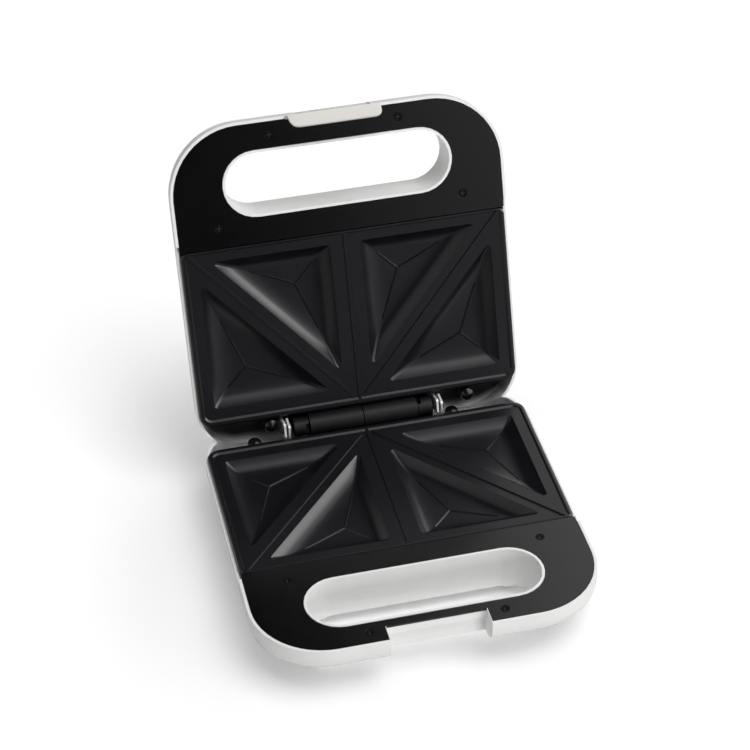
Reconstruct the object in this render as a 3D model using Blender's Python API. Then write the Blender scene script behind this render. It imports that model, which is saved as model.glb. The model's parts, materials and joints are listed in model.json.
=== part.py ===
"""Sandwich maker with two handle housings on a rear hinge, lid open.

Each half is modelled in its own frame: x to the right, y from the front edge
of the cooking plate towards the hinge, z up from the plate's face, so depth
into the housing is negative. Lengths are in metres. The upper half is the
lower one turned over about its y axis and swung open about the hinge.
"""
import math

import bmesh
import bpy
from mathutils import Euler, Matrix, Vector

# Overall sizes
BODY_HALF_WIDTH = 0.1144
PLATE_LENGTH = 0.1260
HANDLE_LENGTH = 0.0843
BODY_DEPTH = 0.0360

# Placing of the two halves
HINGE_SETBACK = 0.0083
HINGE_Y = PLATE_LENGTH + HINGE_SETBACK
CLOSING_GAP = 0.0020
OPEN_ANGLE = math.radians(108.85)
FOOT_BOSS_RISE = 0.0017
FOOT_STAND = 0.0023
FOOT_BOSS_DEPTH = BODY_DEPTH + FOOT_BOSS_RISE
TABLE_DEPTH = FOOT_BOSS_DEPTH + FOOT_STAND
HINGE_FROM_CENTRE = 0.0657
STAND_CENTRE_Y = HINGE_Y - HINGE_FROM_CENTRE

# Shared clearances, cutter overruns and the distance that joins loose corners
CLEAR = 0.0003
WELD = 0.000005
RUN_FIT = 0.0005
OVERRUN = 0.0050

# Housing shell
BODY_FRONT = -HANDLE_LENGTH
REAR_REACH_SHARE = 0.4083
REAR_REACH = BODY_DEPTH * REAR_REACH_SHARE
BODY_BACK = HINGE_Y + REAR_REACH
BODY_FRONT_RADIUS = 0.0490
BODY_BACK_RADIUS = 0.0360
WALL = 0.0019
FLOOR = 0.0022
HANDLE_DEPTH = 0.0205
HANDLE_SLOPE_START = 0.0080
HANDLE_SLOPE_MARGIN = 0.0140
HANDLE_SLOPE_END = BODY_FRONT + HANDLE_SLOPE_MARGIN
HANDLE_SLOPE_SHARE = 0.60
SIDE_WALL_DEPTH = 0.0100
FRONT_WALL_DEPTH = 0.0065
BACK_WALL_MARGIN = 0.0024
BACK_WALL_DEPTH = BODY_DEPTH - BACK_WALL_MARGIN
SIDE_ROUND = 0.0200
FRONT_ROUND = 0.0140
BACK_ROUND = 0.0024
RIM_STEP_Y = -0.0053
RIM_STEP_RUN = 0.0010
RIM_SIDE_DROP = 0.0040
RIM_REST_GAP = 0.0004
SIDE_STATION_SHARES = (0.12, 0.62)

# Handle slot
SLOT_SIDE_MARGIN = 0.0354
SLOT_HALF_LENGTH = BODY_HALF_WIDTH - SLOT_SIDE_MARGIN
SLOT_BACK = -0.0181
SLOT_FRONT_MARGIN = 0.0200
SLOT_FRONT = BODY_FRONT + SLOT_FRONT_MARGIN
COLLAR_WALL = 0.0018

# Bezel
BEZEL_THICK = 0.0016
BEZEL_BACK = -0.0005
SPLASH_WALL = 0.0020
SPLASH_SIDE_MARGIN = 0.0424
SPLASH_HALF_WIDTH = BODY_HALF_WIDTH - SPLASH_SIDE_MARGIN
SPLASH_FLOOR_MARGIN = 0.0120
SPLASH_DEPTH = BODY_DEPTH - SPLASH_FLOOR_MARGIN
SPLASH_SETBACK = 0.0010

# Latch notch in the front of both handles
NOTCH_HALF_WIDTH = 0.0334
NOTCH_UPPER_HALF_WIDTH = 0.0268
NOTCH_LOWER_DEPTH = 0.0144
NOTCH_BACK_LOWER = BODY_FRONT + NOTCH_LOWER_DEPTH
NOTCH_UPPER_DEPTH = 0.0077
NOTCH_BACK_UPPER = BODY_FRONT + NOTCH_UPPER_DEPTH
NOTCH_LIP = 0.0004
NOTCH_OVERHANG = 0.0022
CATCH_DEPTH = 0.0080
NOTCH_WALL = 0.0019
LATCH_POCKET_DEPTH = 0.0125

# Screws
SCREW_SIDE_MARGIN = 0.0302
SCREW_SIDE_X = BODY_HALF_WIDTH - SCREW_SIDE_MARGIN
SCREW_SIDE_Y = -0.0141
SCREW_NOTCH_MARGIN = 0.0105
SCREW_FRONT_X = NOTCH_HALF_WIDTH + SCREW_NOTCH_MARGIN
SCREW_FRONT_MARGIN = 0.0113
SCREW_FRONT_Y = BODY_FRONT + SCREW_FRONT_MARGIN
SCREW_SHANK = 0.0012
SCREW_HEAD = 0.0028
SCREW_HEAD_DEPTH = 0.0008
SCREW_LENGTH = 0.0130
SCREW_CROSS = 0.0022
SCREW_CROSS_WIDTH = 0.0006
SCREW_CROSS_DEPTH = 0.0006
BOSS_RADIUS = 0.0036

# Cooking plate
PLATE_SIDE_MARGIN = 0.0019
PLATE_HALF_WIDTH = BODY_HALF_WIDTH - PLATE_SIDE_MARGIN
PLATE_BACK_RADIUS = 0.0085
PLATE_FRONT_RADIUS = 0.0045
PLATE_SKIRT_DEPTH = 0.0080
PLATE_SHEET = 0.0026
PLATE_LIP_OVERHANG = 0.0006
PLATE_LIP_DROP = 0.0034
PLATE_EDGE_DROP = 0.0020
PLATE_ROUND_DROP = 0.0006
PLATE_ROUND_INSETS = (0.0006, 0.0003, 0.0006)
BEAD_OUTER_INSETS = (0.0018, 0.0008, 0.0019)
BEAD_INNER_INSETS = (0.0030, 0.0014, 0.0042)
LAND_INSETS = (0.0041, 0.0022, 0.0056)
LAND_DROP = 0.0010
RIDGE_TOP = 0.0020
RIDGE_FOOT = 0.0032
RIDGE_MEET_X = 0.0035
RIDGE_MEET_MARGIN = 0.0066
RIDGE_MEET_Y = PLATE_LENGTH - RIDGE_MEET_MARGIN
RIDGE_END_MARGIN = 0.0042
RIDGE_END_X = PLATE_HALF_WIDTH - RIDGE_END_MARGIN
RIDGE_END_Y = 0.0014
POCKET_DEPTH = 0.0078
POCKET_ROUND = 0.0020
POCKET_WALL_RUN = 0.0160
POCKET_LEVEL_SHARES = ((0.0, 0.0), (0.05, 0.16), (0.16, 0.44), (0.28, 0.68), (0.40, 0.855),
                       (0.54, 0.935), (0.74, 0.98), (1.0, 1.0))
POCKET_UNDER_SHARES = ((0.05, 0.16), (0.40, 0.855), (1.0, 1.0))
POCKET_ARM_SHARE = 0.53
POCKET_ARM_WIDTH = 0.0016
POCKET_ARM_HEIGHT = 0.0009
POCKET_SIDE_MARGIN = 0.0112
POCKET_SIDE_X = PLATE_HALF_WIDTH - POCKET_SIDE_MARGIN
POCKET_SIDE_TIP_X = 0.0201
POCKET_SIDE_TIP_Y = 0.0219
POCKET_BACK_MARGIN = 0.0135
POCKET_BACK_Y = PLATE_LENGTH - POCKET_BACK_MARGIN
POCKET_MID_X = 0.0105
POCKET_TIP_SIDE_MARGIN = 0.0201
POCKET_MID_TIP_X = PLATE_HALF_WIDTH - POCKET_TIP_SIDE_MARGIN
POCKET_TIP_BACK_MARGIN = 0.0260
POCKET_MID_TIP_Y = PLATE_LENGTH - POCKET_TIP_BACK_MARGIN
POCKET_FRONT_Y = 0.0085
TAB_HALF_WIDTH = 0.0055
TAB_THICK = 0.0016
TAB_NOSE = 0.0055

# Heater, reflector and electrical pieces
HEATER_RADIUS = 0.0032
HEATER_SIDE_MARGIN = 0.0405
HEATER_HALF_WIDTH = PLATE_HALF_WIDTH - HEATER_SIDE_MARGIN
HEATER_FRONT = 0.0260
HEATER_BACK_MARGIN = 0.0200
HEATER_BACK = PLATE_LENGTH - HEATER_BACK_MARGIN
HEATER_END_X = 0.0300
HEATER_BEND = 0.0180
PAN_SIDE_MARGIN = 0.0125
PAN_HALF_WIDTH = PLATE_HALF_WIDTH - PAN_SIDE_MARGIN
PAN_FRONT = 0.0060
PAN_BACK_MARGIN = 0.0120
PAN_BACK = PLATE_LENGTH - PAN_BACK_MARGIN
PAN_SHEET = 0.0008
PAN_LIP = 0.0060
PAN_POST_RADIUS = 0.0035
PAN_POST_INSET = 0.0140
THERMOSTAT_RADIUS = 0.0080
THERMOSTAT_HEIGHT_SHARE = 0.385
THERMOSTAT_MARGIN = 0.0660
THERMOSTAT_Y = PLATE_LENGTH - THERMOSTAT_MARGIN
THERMOSTAT_PIN_SHARE = 0.256
THERMOSTAT_CAP_SHARE = 0.80
FUSE_RADIUS = 0.0020
FUSE_LENGTH = 0.0200
FUSE_X = 0.0300
BLOCK_SIZE_X = 0.0280
BLOCK_SIZE_Y = 0.0160
BLOCK_HEIGHT_SHARE = 0.61
BLOCK_X = 0.0600
BLOCK_MARGIN = 0.0420
BLOCK_Y = PLATE_LENGTH - BLOCK_MARGIN
BLOCK_SCREW = 0.0018
LEAD_RADIUS = 0.0013

# Rear deck
DECK_OVERLAP = 0.0026
DECK_FRONT = PLATE_LENGTH - DECK_OVERLAP
DECK_THICK = 0.0018
DECK_SETBACK = 0.0012
DECK_RISER_WALL = 0.0020
DECK_RISER_MARGIN = 0.0104
DECK_RISER_HALF_WIDTH = BODY_HALF_WIDTH - DECK_RISER_MARGIN
DECK_SCREW_NEAR_X = 0.0635
DECK_SCREW_FAR_X = 0.0770
DECK_SCREW_SETBACK = 0.0018
DECK_SCREW_Y = HINGE_Y - DECK_SCREW_SETBACK
DECK_SCREW_TOP = 0.0030
DECK_SCREW_HEAD = 0.0049
DECK_SCREW_HEAD_HEIGHT = 0.0038
DECK_SCREW_SHANK = 0.0017
DECK_SCREW_LENGTH = 0.0200
DOME_FOOT_SHARE = 0.35
DECK_BOSS_RADIUS = 0.0048

# Hinge brackets, rivets and washers
BRACKET_SHEET = 0.0015
BRACKET_WIDTH = 0.0114
BRACKET_CORNER = 0.0020
BRACKET_CORNER_STEPS = 4
BRACKET_OUTER_X = 0.0556
BRACKET_EYE_X = 0.0527
BRACKET_FOOT_X = 0.0510
BRACKET_JOG_TOP = 0.0080
BRACKET_JOG_RUN = 0.0030
BRACKET_FLANGE_OVERHANG = 0.0055
BRACKET_SLOT_FIT = 0.0006
RIVET_RADIUS = 0.0020
RIVET_HEAD = 0.0034
RIVET_HEAD_THICK = 0.0010
WASHER_RADIUS = 0.0050

# Hinge covers
BARREL_RADIUS = 0.0080
BARREL_BORE = 0.0043
BARREL_END = 0.0380
BARREL_SPLIT = 0.0006
KNUCKLE_RADIUS = 0.0066
KNUCKLE_NOTCH_LENGTH = 0.0026
KNUCKLE_NOTCH_HALF_WIDTH = 0.0034
KNUCKLE_END = 0.0490
KNUCKLE_POST = 0.0100
SPIGOT_RADIUS = 0.0038
SPIGOT_LENGTH = 0.0080
COVER_FLANGE_LENGTH = 0.0155
COVER_FLANGE_THICK = 0.0018
COVER_WEB = 0.0090
COVER_WEB_LONG = 0.0240
SLEEVE_X = 0.0180
SLEEVE_RADIUS = 0.0025
SLEEVE_BEND = 0.0030
SLEEVE_FLOOR_MARGIN = 0.0075
SLEEVE_DEPTH = BODY_DEPTH - SLEEVE_FLOOR_MARGIN

# Feet
FOOT_FRONT_MARGIN = 0.0504
FOOT_FRONT_X = BODY_HALF_WIDTH - FOOT_FRONT_MARGIN
FOOT_FRONT_Y = -0.0090
FOOT_SIDE_MARGIN = 0.0284
FOOT_BACK_X = BODY_HALF_WIDTH - FOOT_SIDE_MARGIN
FOOT_BACK_MARGIN = 0.0260
FOOT_BACK_Y = PLATE_LENGTH - FOOT_BACK_MARGIN
FOOT_BOSS_RADIUS = 0.0080
FOOT_RADIUS = 0.0062
FOOT_RECESS = 0.0012

# Cord gland and clamp
GLAND_SIDE_MARGIN = 0.0544
GLAND_X = BODY_HALF_WIDTH - GLAND_SIDE_MARGIN
GLAND_FLANGE_SHARE = 0.917
GLAND_NECK_SHARE = 0.82
GLAND_BORE_SHARE = 0.62
GLAND_FLANGE_THICK = 0.0018
GLAND_TAPER_SHARE = 0.85
CLAMP_SIZE_X = 0.0200
CLAMP_SIZE_Y = 0.0080
CLAMP_HEIGHT_SHARE = 0.68
CLAMP_SETBACK = 0.0023
CLAMP_Y = HINGE_Y - CLAMP_SETBACK
CLAMP_SCREW_X = 0.0070

# Indicator lights of the lid
LIGHT_X = 0.0110
LIGHT_Y = 0.0160
LENS_RADIUS = 0.0036
LENS_RISE = 0.0005
LENS_FLANGE = 0.0050
LENS_FLANGE_THICK = 0.0010
LENS_FLAT_SHARE = 0.70
LAMP_RADIUS = 0.0024
LAMP_LENGTH = 0.0060
HOLDER_SIZE_X = 0.0360
HOLDER_SIZE_Y = 0.0120
HOLDER_THICK = 0.0030

# Latch, in the upper half's frame; positive z reaches out of the lid
LATCH_AXIS_MARGIN = 0.0040
LATCH_AXIS_Y = BODY_FRONT + LATCH_AXIS_MARGIN
LATCH_AXIS_Z = -0.0080
LATCH_ROOT_HALF_WIDTH = 0.0256
LATCH_ROOT_REACH = 0.0105
LATCH_ROOT_OUT = 0.0042
LATCH_ROOT_IN = 0.0025
LATCH_SHOULDER_REACH = 0.0089
LATCH_SHOULDER_OUT = 0.0039
LATCH_SHOULDER_HALF_WIDTH = 0.0324
LATCH_TIP_HALF_WIDTH = 0.0302
LATCH_CORNER = 0.0048
LATCH_BARREL = 0.0027
LATCH_PIN = 0.0012
LATCH_THICK = 0.0022
LATCH_MOUTH_OUT = 0.0036
LATCH_BULGE_OUT = 0.0059
LATCH_BULGE_REACH = 0.0151
LATCH_BEND_OUT = 0.0024
LATCH_BEND_REACH = 0.0212
LATCH_TIP_OUT = 0.0002
LATCH_TIP_REACH = 0.0263
LATCH_SWING = math.radians(26.0)
LATCH_CORNER_SHARES = (0.0, 0.5, 0.85, 1.0)
HOOK_HALF_WIDTH = 0.0060
HOOK_ROOT = 0.0071
HOOK_REACH = 0.0109
HOOK_CLEAR = 0.0005
HOOK_NEAR = CATCH_DEPTH + CLOSING_GAP - LATCH_AXIS_Z + HOOK_CLEAR
HOOK_THICK = 0.0014

# Segment counts
CORNER_STEPS = 12
ROUND_STEPS = 4
SLOT_STEPS = 14
POCKET_STEPS = 3
DOME_STEPS = 3
SMALL_SIDES = 10
LARGE_SIDES = 18
FLAT_ANGLE = math.radians(0.2)

HINGE_Z = CLOSING_GAP / 2
INNER_HALF_WIDTH = BODY_HALF_WIDTH - WALL
FLOOR_TOP = -(BODY_DEPTH - FLOOR)
SLOT_MID_Y = (SLOT_BACK + SLOT_FRONT) / 2
SLOT_RADIUS = (SLOT_BACK - SLOT_FRONT) / 2
BEZEL_TOP = -CLEAR
BEZEL_UNDER = BEZEL_TOP - BEZEL_THICK
TAB_TOP = BEZEL_UNDER - CLEAR
TAB_UNDER = TAB_TOP - TAB_THICK
LAND_Z = -LAND_DROP
SHEET_UNDER = LAND_Z - PLATE_SHEET
POCKET_FLOOR = -POCKET_DEPTH
POCKET_UNDER = POCKET_FLOOR - PLATE_SHEET
HEATER_Z = POCKET_UNDER - CLEAR - HEATER_RADIUS
PAN_TOP = HEATER_Z - HEATER_RADIUS - CLEAR
PAN_UNDER = PAN_TOP - PAN_SHEET
BEZEL_SCREWS = ((-SCREW_SIDE_X, SCREW_SIDE_Y), (SCREW_SIDE_X, SCREW_SIDE_Y),
                (-SCREW_FRONT_X, SCREW_FRONT_Y), (SCREW_FRONT_X, SCREW_FRONT_Y))
DECK_SCREWS = (-DECK_SCREW_FAR_X, DECK_SCREW_NEAR_X)


def meeting_depth(y):
    """Depth at which the two rims nearly touch, past the hinge, with the lid open."""
    reach = RIM_REST_GAP / 2 + (y - HINGE_Y) * math.sin(OPEN_ANGLE / 2)
    return reach / math.cos(OPEN_ANGLE / 2) - HINGE_Z


# Levels that follow from the deck and the room under the reflector
DECK_TOP = -(meeting_depth(BODY_BACK) + DECK_SETBACK)
DECK_UNDER = DECK_TOP - DECK_THICK
PAN_ROOM = PAN_UNDER - FLOOR_TOP
THERMOSTAT_HEIGHT = PAN_ROOM * THERMOSTAT_HEIGHT_SHARE
THERMOSTAT_PIN = PAN_ROOM * THERMOSTAT_PIN_SHARE
BLOCK_HEIGHT = PAN_ROOM * BLOCK_HEIGHT_SHARE
DECK_ROOM = DECK_UNDER - FLOOR_TOP
GLAND_DEPTH = DECK_ROOM / 2 - DECK_UNDER
GLAND_FLANGE = DECK_ROOM / 2 * GLAND_FLANGE_SHARE
GLAND_NECK = GLAND_FLANGE * GLAND_NECK_SHARE
GLAND_BORE = GLAND_FLANGE * GLAND_BORE_SHARE
CLAMP_HEIGHT = (DECK_ROOM - BRACKET_SHEET - CLEAR * 2) * CLAMP_HEIGHT_SHARE


# Scene and finishes

def empty_scene():
    for thing in list(bpy.data.objects):
        bpy.data.objects.remove(thing, do_unlink=True)


def finish(name, colour, roughness, metallic=0.0):
    material = bpy.data.materials.new(name)
    material.use_nodes = True
    shader = material.node_tree.nodes["Principled BSDF"]
    shader.inputs["Base Color"].default_value = (*colour, 1.0)
    shader.inputs["Roughness"].default_value = roughness
    shader.inputs["Metallic"].default_value = metallic
    material.diffuse_color = (*colour, 1.0)
    return material


def make_finishes():
    return {
        "shell": finish("white_housing_plastic", (0.83, 0.83, 0.81), 0.32),
        "bezel": finish("black_bezel_plastic", (0.014, 0.014, 0.015), 0.25),
        "plate": finish("nonstick_coating", (0.026, 0.026, 0.030), 0.42),
        "hinge": finish("black_hinge_plastic", (0.022, 0.022, 0.024), 0.45),
        "latch": finish("cream_latch_plastic", (0.72, 0.70, 0.66), 0.38),
        "steel": finish("bright_steel", (0.60, 0.60, 0.58), 0.25, 1.0),
        "black_steel": finish("blackened_steel", (0.020, 0.020, 0.021), 0.35, 0.6),
        "heater": finish("heater_sheath", (0.28, 0.27, 0.26), 0.40, 1.0),
        "pan": finish("aluminised_sheet", (0.62, 0.62, 0.62), 0.35, 1.0),
        "rubber": finish("grey_rubber", (0.30, 0.30, 0.30), 0.80),
        "gland": finish("black_rubber", (0.020, 0.020, 0.020), 0.75),
        "ceramic": finish("white_ceramic", (0.78, 0.77, 0.72), 0.50),
        "sleeve": finish("glass_fibre_sleeve", (0.70, 0.68, 0.60), 0.85),
        "red": finish("red_lens", (0.55, 0.02, 0.02), 0.15),
        "green": finish("green_lens", (0.02, 0.35, 0.06), 0.15),
        "glass": finish("lamp_glass", (0.75, 0.60, 0.50), 0.10),
        "lead": finish("lead_insulation", (0.60, 0.58, 0.52), 0.60),
    }


# Solids

def mesh_from(bm):
    bmesh.ops.recalc_face_normals(bm, faces=bm.faces[:])
    mesh = bpy.data.meshes.new("solid")
    bm.to_mesh(mesh)
    bm.free()
    return mesh


def loft(rings, mirrored_caps=False):
    """Join rings of points, first to last, and close both ends."""
    bm = bmesh.new()
    loops = [[bm.verts.new(point) for point in ring] for ring in rings]
    count = len(loops[0])
    for lower, upper in zip(loops, loops[1:]):
        for i in range(count):
            j = (i + 1) % count
            bm.faces.new((lower[i], lower[j], upper[j], upper[i]))
    for loop in (loops[0], loops[-1]):
        if mirrored_caps:
            for i in range(count // 2 - 1):
                bm.faces.new((loop[i], loop[i + 1], loop[count - 2 - i], loop[count - 1 - i]))
        else:
            bm.faces.new(loop)
    return mesh_from(bm)


def prism(outline, low, high):
    return loft([[(x, y, low) for x, y in outline], [(x, y, high) for x, y in outline]])


def box(x_pair, y_pair, z_pair):
    (x0, x1), (y0, y1) = x_pair, y_pair
    return prism([(x0, y0), (x1, y0), (x1, y1), (x0, y1)], *z_pair)


def turned(profile, sides=SMALL_SIDES, axis="Z", centre=(0.0, 0.0, 0.0)):
    """Spin a profile of (radius, height) points about an axis through centre."""
    bm = bmesh.new()
    verts = [bm.verts.new((radius, 0.0, height)) for radius, height in profile]
    edges = [bm.edges.new(pair) for pair in zip(verts, verts[1:])]
    closed = profile[0][0] > 0.0 and profile[-1][0] > 0.0
    if closed:
        edges.append(bm.edges.new((verts[-1], verts[0])))
    bmesh.ops.spin(bm, geom=verts + edges, cent=(0.0, 0.0, 0.0), axis=(0.0, 0.0, 1.0),
                   angle=math.tau, steps=sides, use_merge=True)
    bmesh.ops.remove_doubles(bm, verts=bm.verts[:], dist=CLEAR / sides)
    turn = {"Z": Matrix(), "X": Matrix.Rotation(math.pi / 2, 4, "Y"),
            "Y": Matrix.Rotation(-math.pi / 2, 4, "X")}[axis]
    bmesh.ops.transform(bm, matrix=Matrix.Translation(centre) @ turn, verts=bm.verts[:])
    return mesh_from(bm)


def rod(radius, low, high, sides=SMALL_SIDES, axis="Z", centre=(0.0, 0.0, 0.0)):
    return turned([(0.0, low), (radius, low), (radius, high), (0.0, high)], sides, axis, centre)


def weld(mesh):
    """Join corners that a boolean left a hair apart and drop edges of no length."""
    bm = bmesh.new()
    bm.from_mesh(mesh)
    bmesh.ops.remove_doubles(bm, verts=bm.verts[:], dist=WELD)
    bmesh.ops.dissolve_degenerate(bm, edges=bm.edges[:], dist=WELD)
    bmesh.ops.dissolve_limit(bm, angle_limit=FLAT_ANGLE, use_dissolve_boundaries=False,
                             verts=bm.verts[:], edges=bm.edges[:], delimit=set())
    bm.to_mesh(mesh)
    bm.free()
    return mesh


def combine(start, *steps):
    """Apply (operation, mesh) booleans to a mesh, one after another."""
    result = start
    for operation, tool in steps:
        body = bpy.data.objects.new("body", result)
        cutter = bpy.data.objects.new("cutter", tool)
        bpy.context.scene.collection.objects.link(body)
        bpy.context.scene.collection.objects.link(cutter)
        modifier = body.modifiers.new("combine", "BOOLEAN")
        modifier.operation = operation
        modifier.solver = "EXACT"
        modifier.object = cutter
        graph = bpy.context.evaluated_depsgraph_get()
        result = weld(bpy.data.meshes.new_from_object(body.evaluated_get(graph)))
        bpy.data.objects.remove(body, do_unlink=True)
        bpy.data.objects.remove(cutter, do_unlink=True)
    return result


def unite(*meshes):
    return combine(meshes[0], *[("UNION", mesh) for mesh in meshes[1:]])


def cut(mesh, *tools):
    return combine(mesh, *[("DIFFERENCE", tool) for tool in tools])


def add_piece(name, mesh, material, half, smooth=35.0):
    piece = bpy.data.objects.new(name, mesh)
    bpy.context.scene.collection.objects.link(piece)
    mesh.materials.clear()
    mesh.materials.append(material)
    mesh.shade_smooth()
    mesh.set_sharp_from_angle(angle=math.radians(smooth))
    piece.parent = half
    piece.location = (0.0, -HINGE_Y, -HINGE_Z)
    return piece


def tube(name, points, radius, material, half, detail=2):
    curve = bpy.data.curves.new(name, "CURVE")
    curve.dimensions = "3D"
    curve.bevel_depth = radius
    curve.bevel_resolution = detail
    curve.use_fill_caps = True
    spline = curve.splines.new("POLY")
    spline.points.add(len(points) - 1)
    for point, place in zip(spline.points, points):
        point.co = (*place, 1.0)
    curve.materials.append(material)
    piece = bpy.data.objects.new(name, curve)
    bpy.context.scene.collection.objects.link(piece)
    piece.parent = half
    piece.location = (0.0, -HINGE_Y, -HINGE_Z)
    return piece


def rounded_path(corners, bend, steps=4):
    """Corner points of a path, with each inner corner turned into an arc."""
    points = [Vector(corners[0])]
    for before, corner, after in zip(corners, corners[1:], corners[2:]):
        corner = Vector(corner)
        first = (Vector(before) - corner).normalized()
        second = (Vector(after) - corner).normalized()
        half_turn = first.angle(second) / 2
        reach = bend / math.tan(half_turn)
        centre = corner + (first + second).normalized() * bend / math.sin(half_turn)
        start = corner + first * reach - centre
        end = corner + second * reach - centre
        sweep = start.angle(end)
        for i in range(steps + 1):
            share = i / steps
            point = (start * math.sin((1 - share) * sweep)
                     + end * math.sin(share * sweep)) / math.sin(sweep)
            points.append(centre + point)
    points.append(Vector(corners[-1]))
    return points


def stadium(half_length, radius, mid_y, steps=SLOT_STEPS):
    straight = half_length - radius
    points = []
    for side in (1, -1):
        for i in range(steps + 1):
            angle = math.pi * i / steps - math.pi / 2
            points.append((side * (straight + radius * math.cos(angle)),
                           mid_y + side * radius * math.sin(angle)))
    return points


def blend(share):
    share = min(max(share, 0.0), 1.0)
    return share * share * (3 - 2 * share)


# Housing

def underside(y):
    """Depth of the housing's outer face at a distance y from the plate's edge."""
    share = (HANDLE_SLOPE_START - y) / (HANDLE_SLOPE_START - HANDLE_SLOPE_END)
    share = min(max(share, 0.0), 1.0)
    fall = share * (HANDLE_SLOPE_SHARE + (1 - HANDLE_SLOPE_SHARE) * share)
    return BODY_DEPTH - (BODY_DEPTH - HANDLE_DEPTH) * fall


def half_outline(inset):
    """Right half of the housing's outline: place, inward normal and corner shares."""
    points = []
    centre = Vector((BODY_HALF_WIDTH - BODY_FRONT_RADIUS, BODY_FRONT + BODY_FRONT_RADIUS))
    for i in range(CORNER_STEPS + 1):
        angle = math.pi / 2 * (i / CORNER_STEPS - 1)
        normal = -Vector((math.cos(angle), math.sin(angle)))
        points.append((centre - normal * (BODY_FRONT_RADIUS - inset), normal, -math.sin(angle), 0.0))
    start = BODY_FRONT + BODY_FRONT_RADIUS
    end = BODY_BACK - BODY_BACK_RADIUS
    stations = [RIM_STEP_Y, RIM_STEP_Y + RIM_STEP_RUN, HANDLE_SLOPE_START]
    stations += [start + (end - start) * share for share in SIDE_STATION_SHARES]
    for y in sorted(stations):
        points.append((Vector((BODY_HALF_WIDTH - inset, y)), Vector((-1, 0)), 0.0, 0.0))
    centre = Vector((BODY_HALF_WIDTH - BODY_BACK_RADIUS, end))
    for i in range(CORNER_STEPS + 1):
        angle = math.pi / 2 * i / CORNER_STEPS
        normal = -Vector((math.cos(angle), math.sin(angle)))
        points.append((centre - normal * (BODY_BACK_RADIUS - inset), normal, 0.0, i / CORNER_STEPS))
    return points


def rim_depth(y):
    step = (y - RIM_STEP_Y) / RIM_STEP_RUN
    return max(RIM_SIDE_DROP * min(max(step, 0.0), 1.0), meeting_depth(y))


def mirrored_ring(half):
    return half + [(-x, y, z) for x, y, z in reversed(half)]


def bowl(inset, floor_wall, top=None):
    """Closed solid of the housing's outer form, drawn in by a wall thickness."""
    outline = half_outline(inset)
    rings = [[(p.x, p.y, -rim_depth(p.y) if top is None else top) for p, _, _, _ in outline]]
    for k in range(ROUND_STEPS + 1):
        angle = math.pi / 2 * k / ROUND_STEPS
        ring = []
        for place, normal, front, back in outline:
            back_turn = blend(back)
            wall = (SIDE_WALL_DEPTH + front * (FRONT_WALL_DEPTH - SIDE_WALL_DEPTH)
                    + back_turn * (BACK_WALL_DEPTH - SIDE_WALL_DEPTH))
            turn = (SIDE_ROUND + front * (FRONT_ROUND - SIDE_ROUND)
                    + back_turn * (BACK_ROUND - SIDE_ROUND)) - inset
            end = place + normal * turn
            spot = place + normal * turn * (1 - math.cos(angle))
            depth = underside(end.y) - floor_wall
            ring.append((spot.x, spot.y, -(wall + (depth - wall) * math.sin(angle))))
        rings.append(ring)
    return loft([mirrored_ring(ring) for ring in rings], mirrored_caps=True)


def boss_top(y):
    """Underside of what a bezel screw's boss carries: the plate's tab or the bezel."""
    return (TAB_UNDER if y == SCREW_SIDE_Y else BEZEL_UNDER) - CLEAR


def notch_half_width(is_lid):
    return NOTCH_UPPER_HALF_WIDTH if is_lid else NOTCH_HALF_WIDTH


def housing_inserts(is_lid):
    """Collar, notch block, bosses, posts and deck, before they are trimmed to the shell."""
    deep = -(TABLE_DEPTH + OVERRUN)
    top = OVERRUN * 2
    pieces = [prism(stadium(SLOT_HALF_LENGTH - CLEAR, SLOT_RADIUS - CLEAR, SLOT_MID_Y), deep, top)]
    void = notch_half_width(is_lid) - CLEAR - NOTCH_LIP
    edge = NOTCH_BACK_UPPER if is_lid else NOTCH_BACK_LOWER
    face = edge if is_lid else edge + NOTCH_OVERHANG
    low = -LATCH_POCKET_DEPTH - NOTCH_WALL if is_lid else deep
    outer = void + NOTCH_WALL
    pieces.append(box((-outer, outer), (BODY_FRONT - OVERRUN, face + NOTCH_WALL),
                      (low, BEZEL_UNDER - CLEAR)))
    lip = notch_half_width(is_lid) - CLEAR
    pieces.append(box((-lip, lip), (BODY_FRONT - OVERRUN, edge - CLEAR),
                      (BEZEL_UNDER - OVERRUN, top)))
    for x, y in BEZEL_SCREWS:
        pieces.append(rod(BOSS_RADIUS, deep, boss_top(y), centre=(x, y, 0.0)))
    for x in (-1, 1):
        for y in (PAN_FRONT + PAN_POST_INSET, PAN_BACK - PAN_POST_INSET):
            post = x * (PAN_HALF_WIDTH - PAN_POST_INSET)
            pieces.append(rod(PAN_POST_RADIUS, deep, PAN_UNDER - CLEAR, centre=(post, y, 0.0)))
    pieces.append(box((-BODY_HALF_WIDTH, BODY_HALF_WIDTH), (DECK_FRONT, BODY_BACK + OVERRUN),
                      (DECK_UNDER, DECK_TOP)))
    pieces.append(box((-DECK_RISER_HALF_WIDTH, DECK_RISER_HALF_WIDTH),
                      (DECK_FRONT, DECK_FRONT + DECK_RISER_WALL),
                      (DECK_UNDER, -PLATE_SKIRT_DEPTH - CLEAR)))
    for x in DECK_SCREWS:
        pieces.append(rod(DECK_BOSS_RADIUS, DECK_UNDER,
                          -(DECK_SCREW_TOP + DECK_SCREW_HEAD_HEIGHT + CLEAR),
                          centre=(x, DECK_SCREW_Y, 0.0)))
    return pieces


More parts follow.
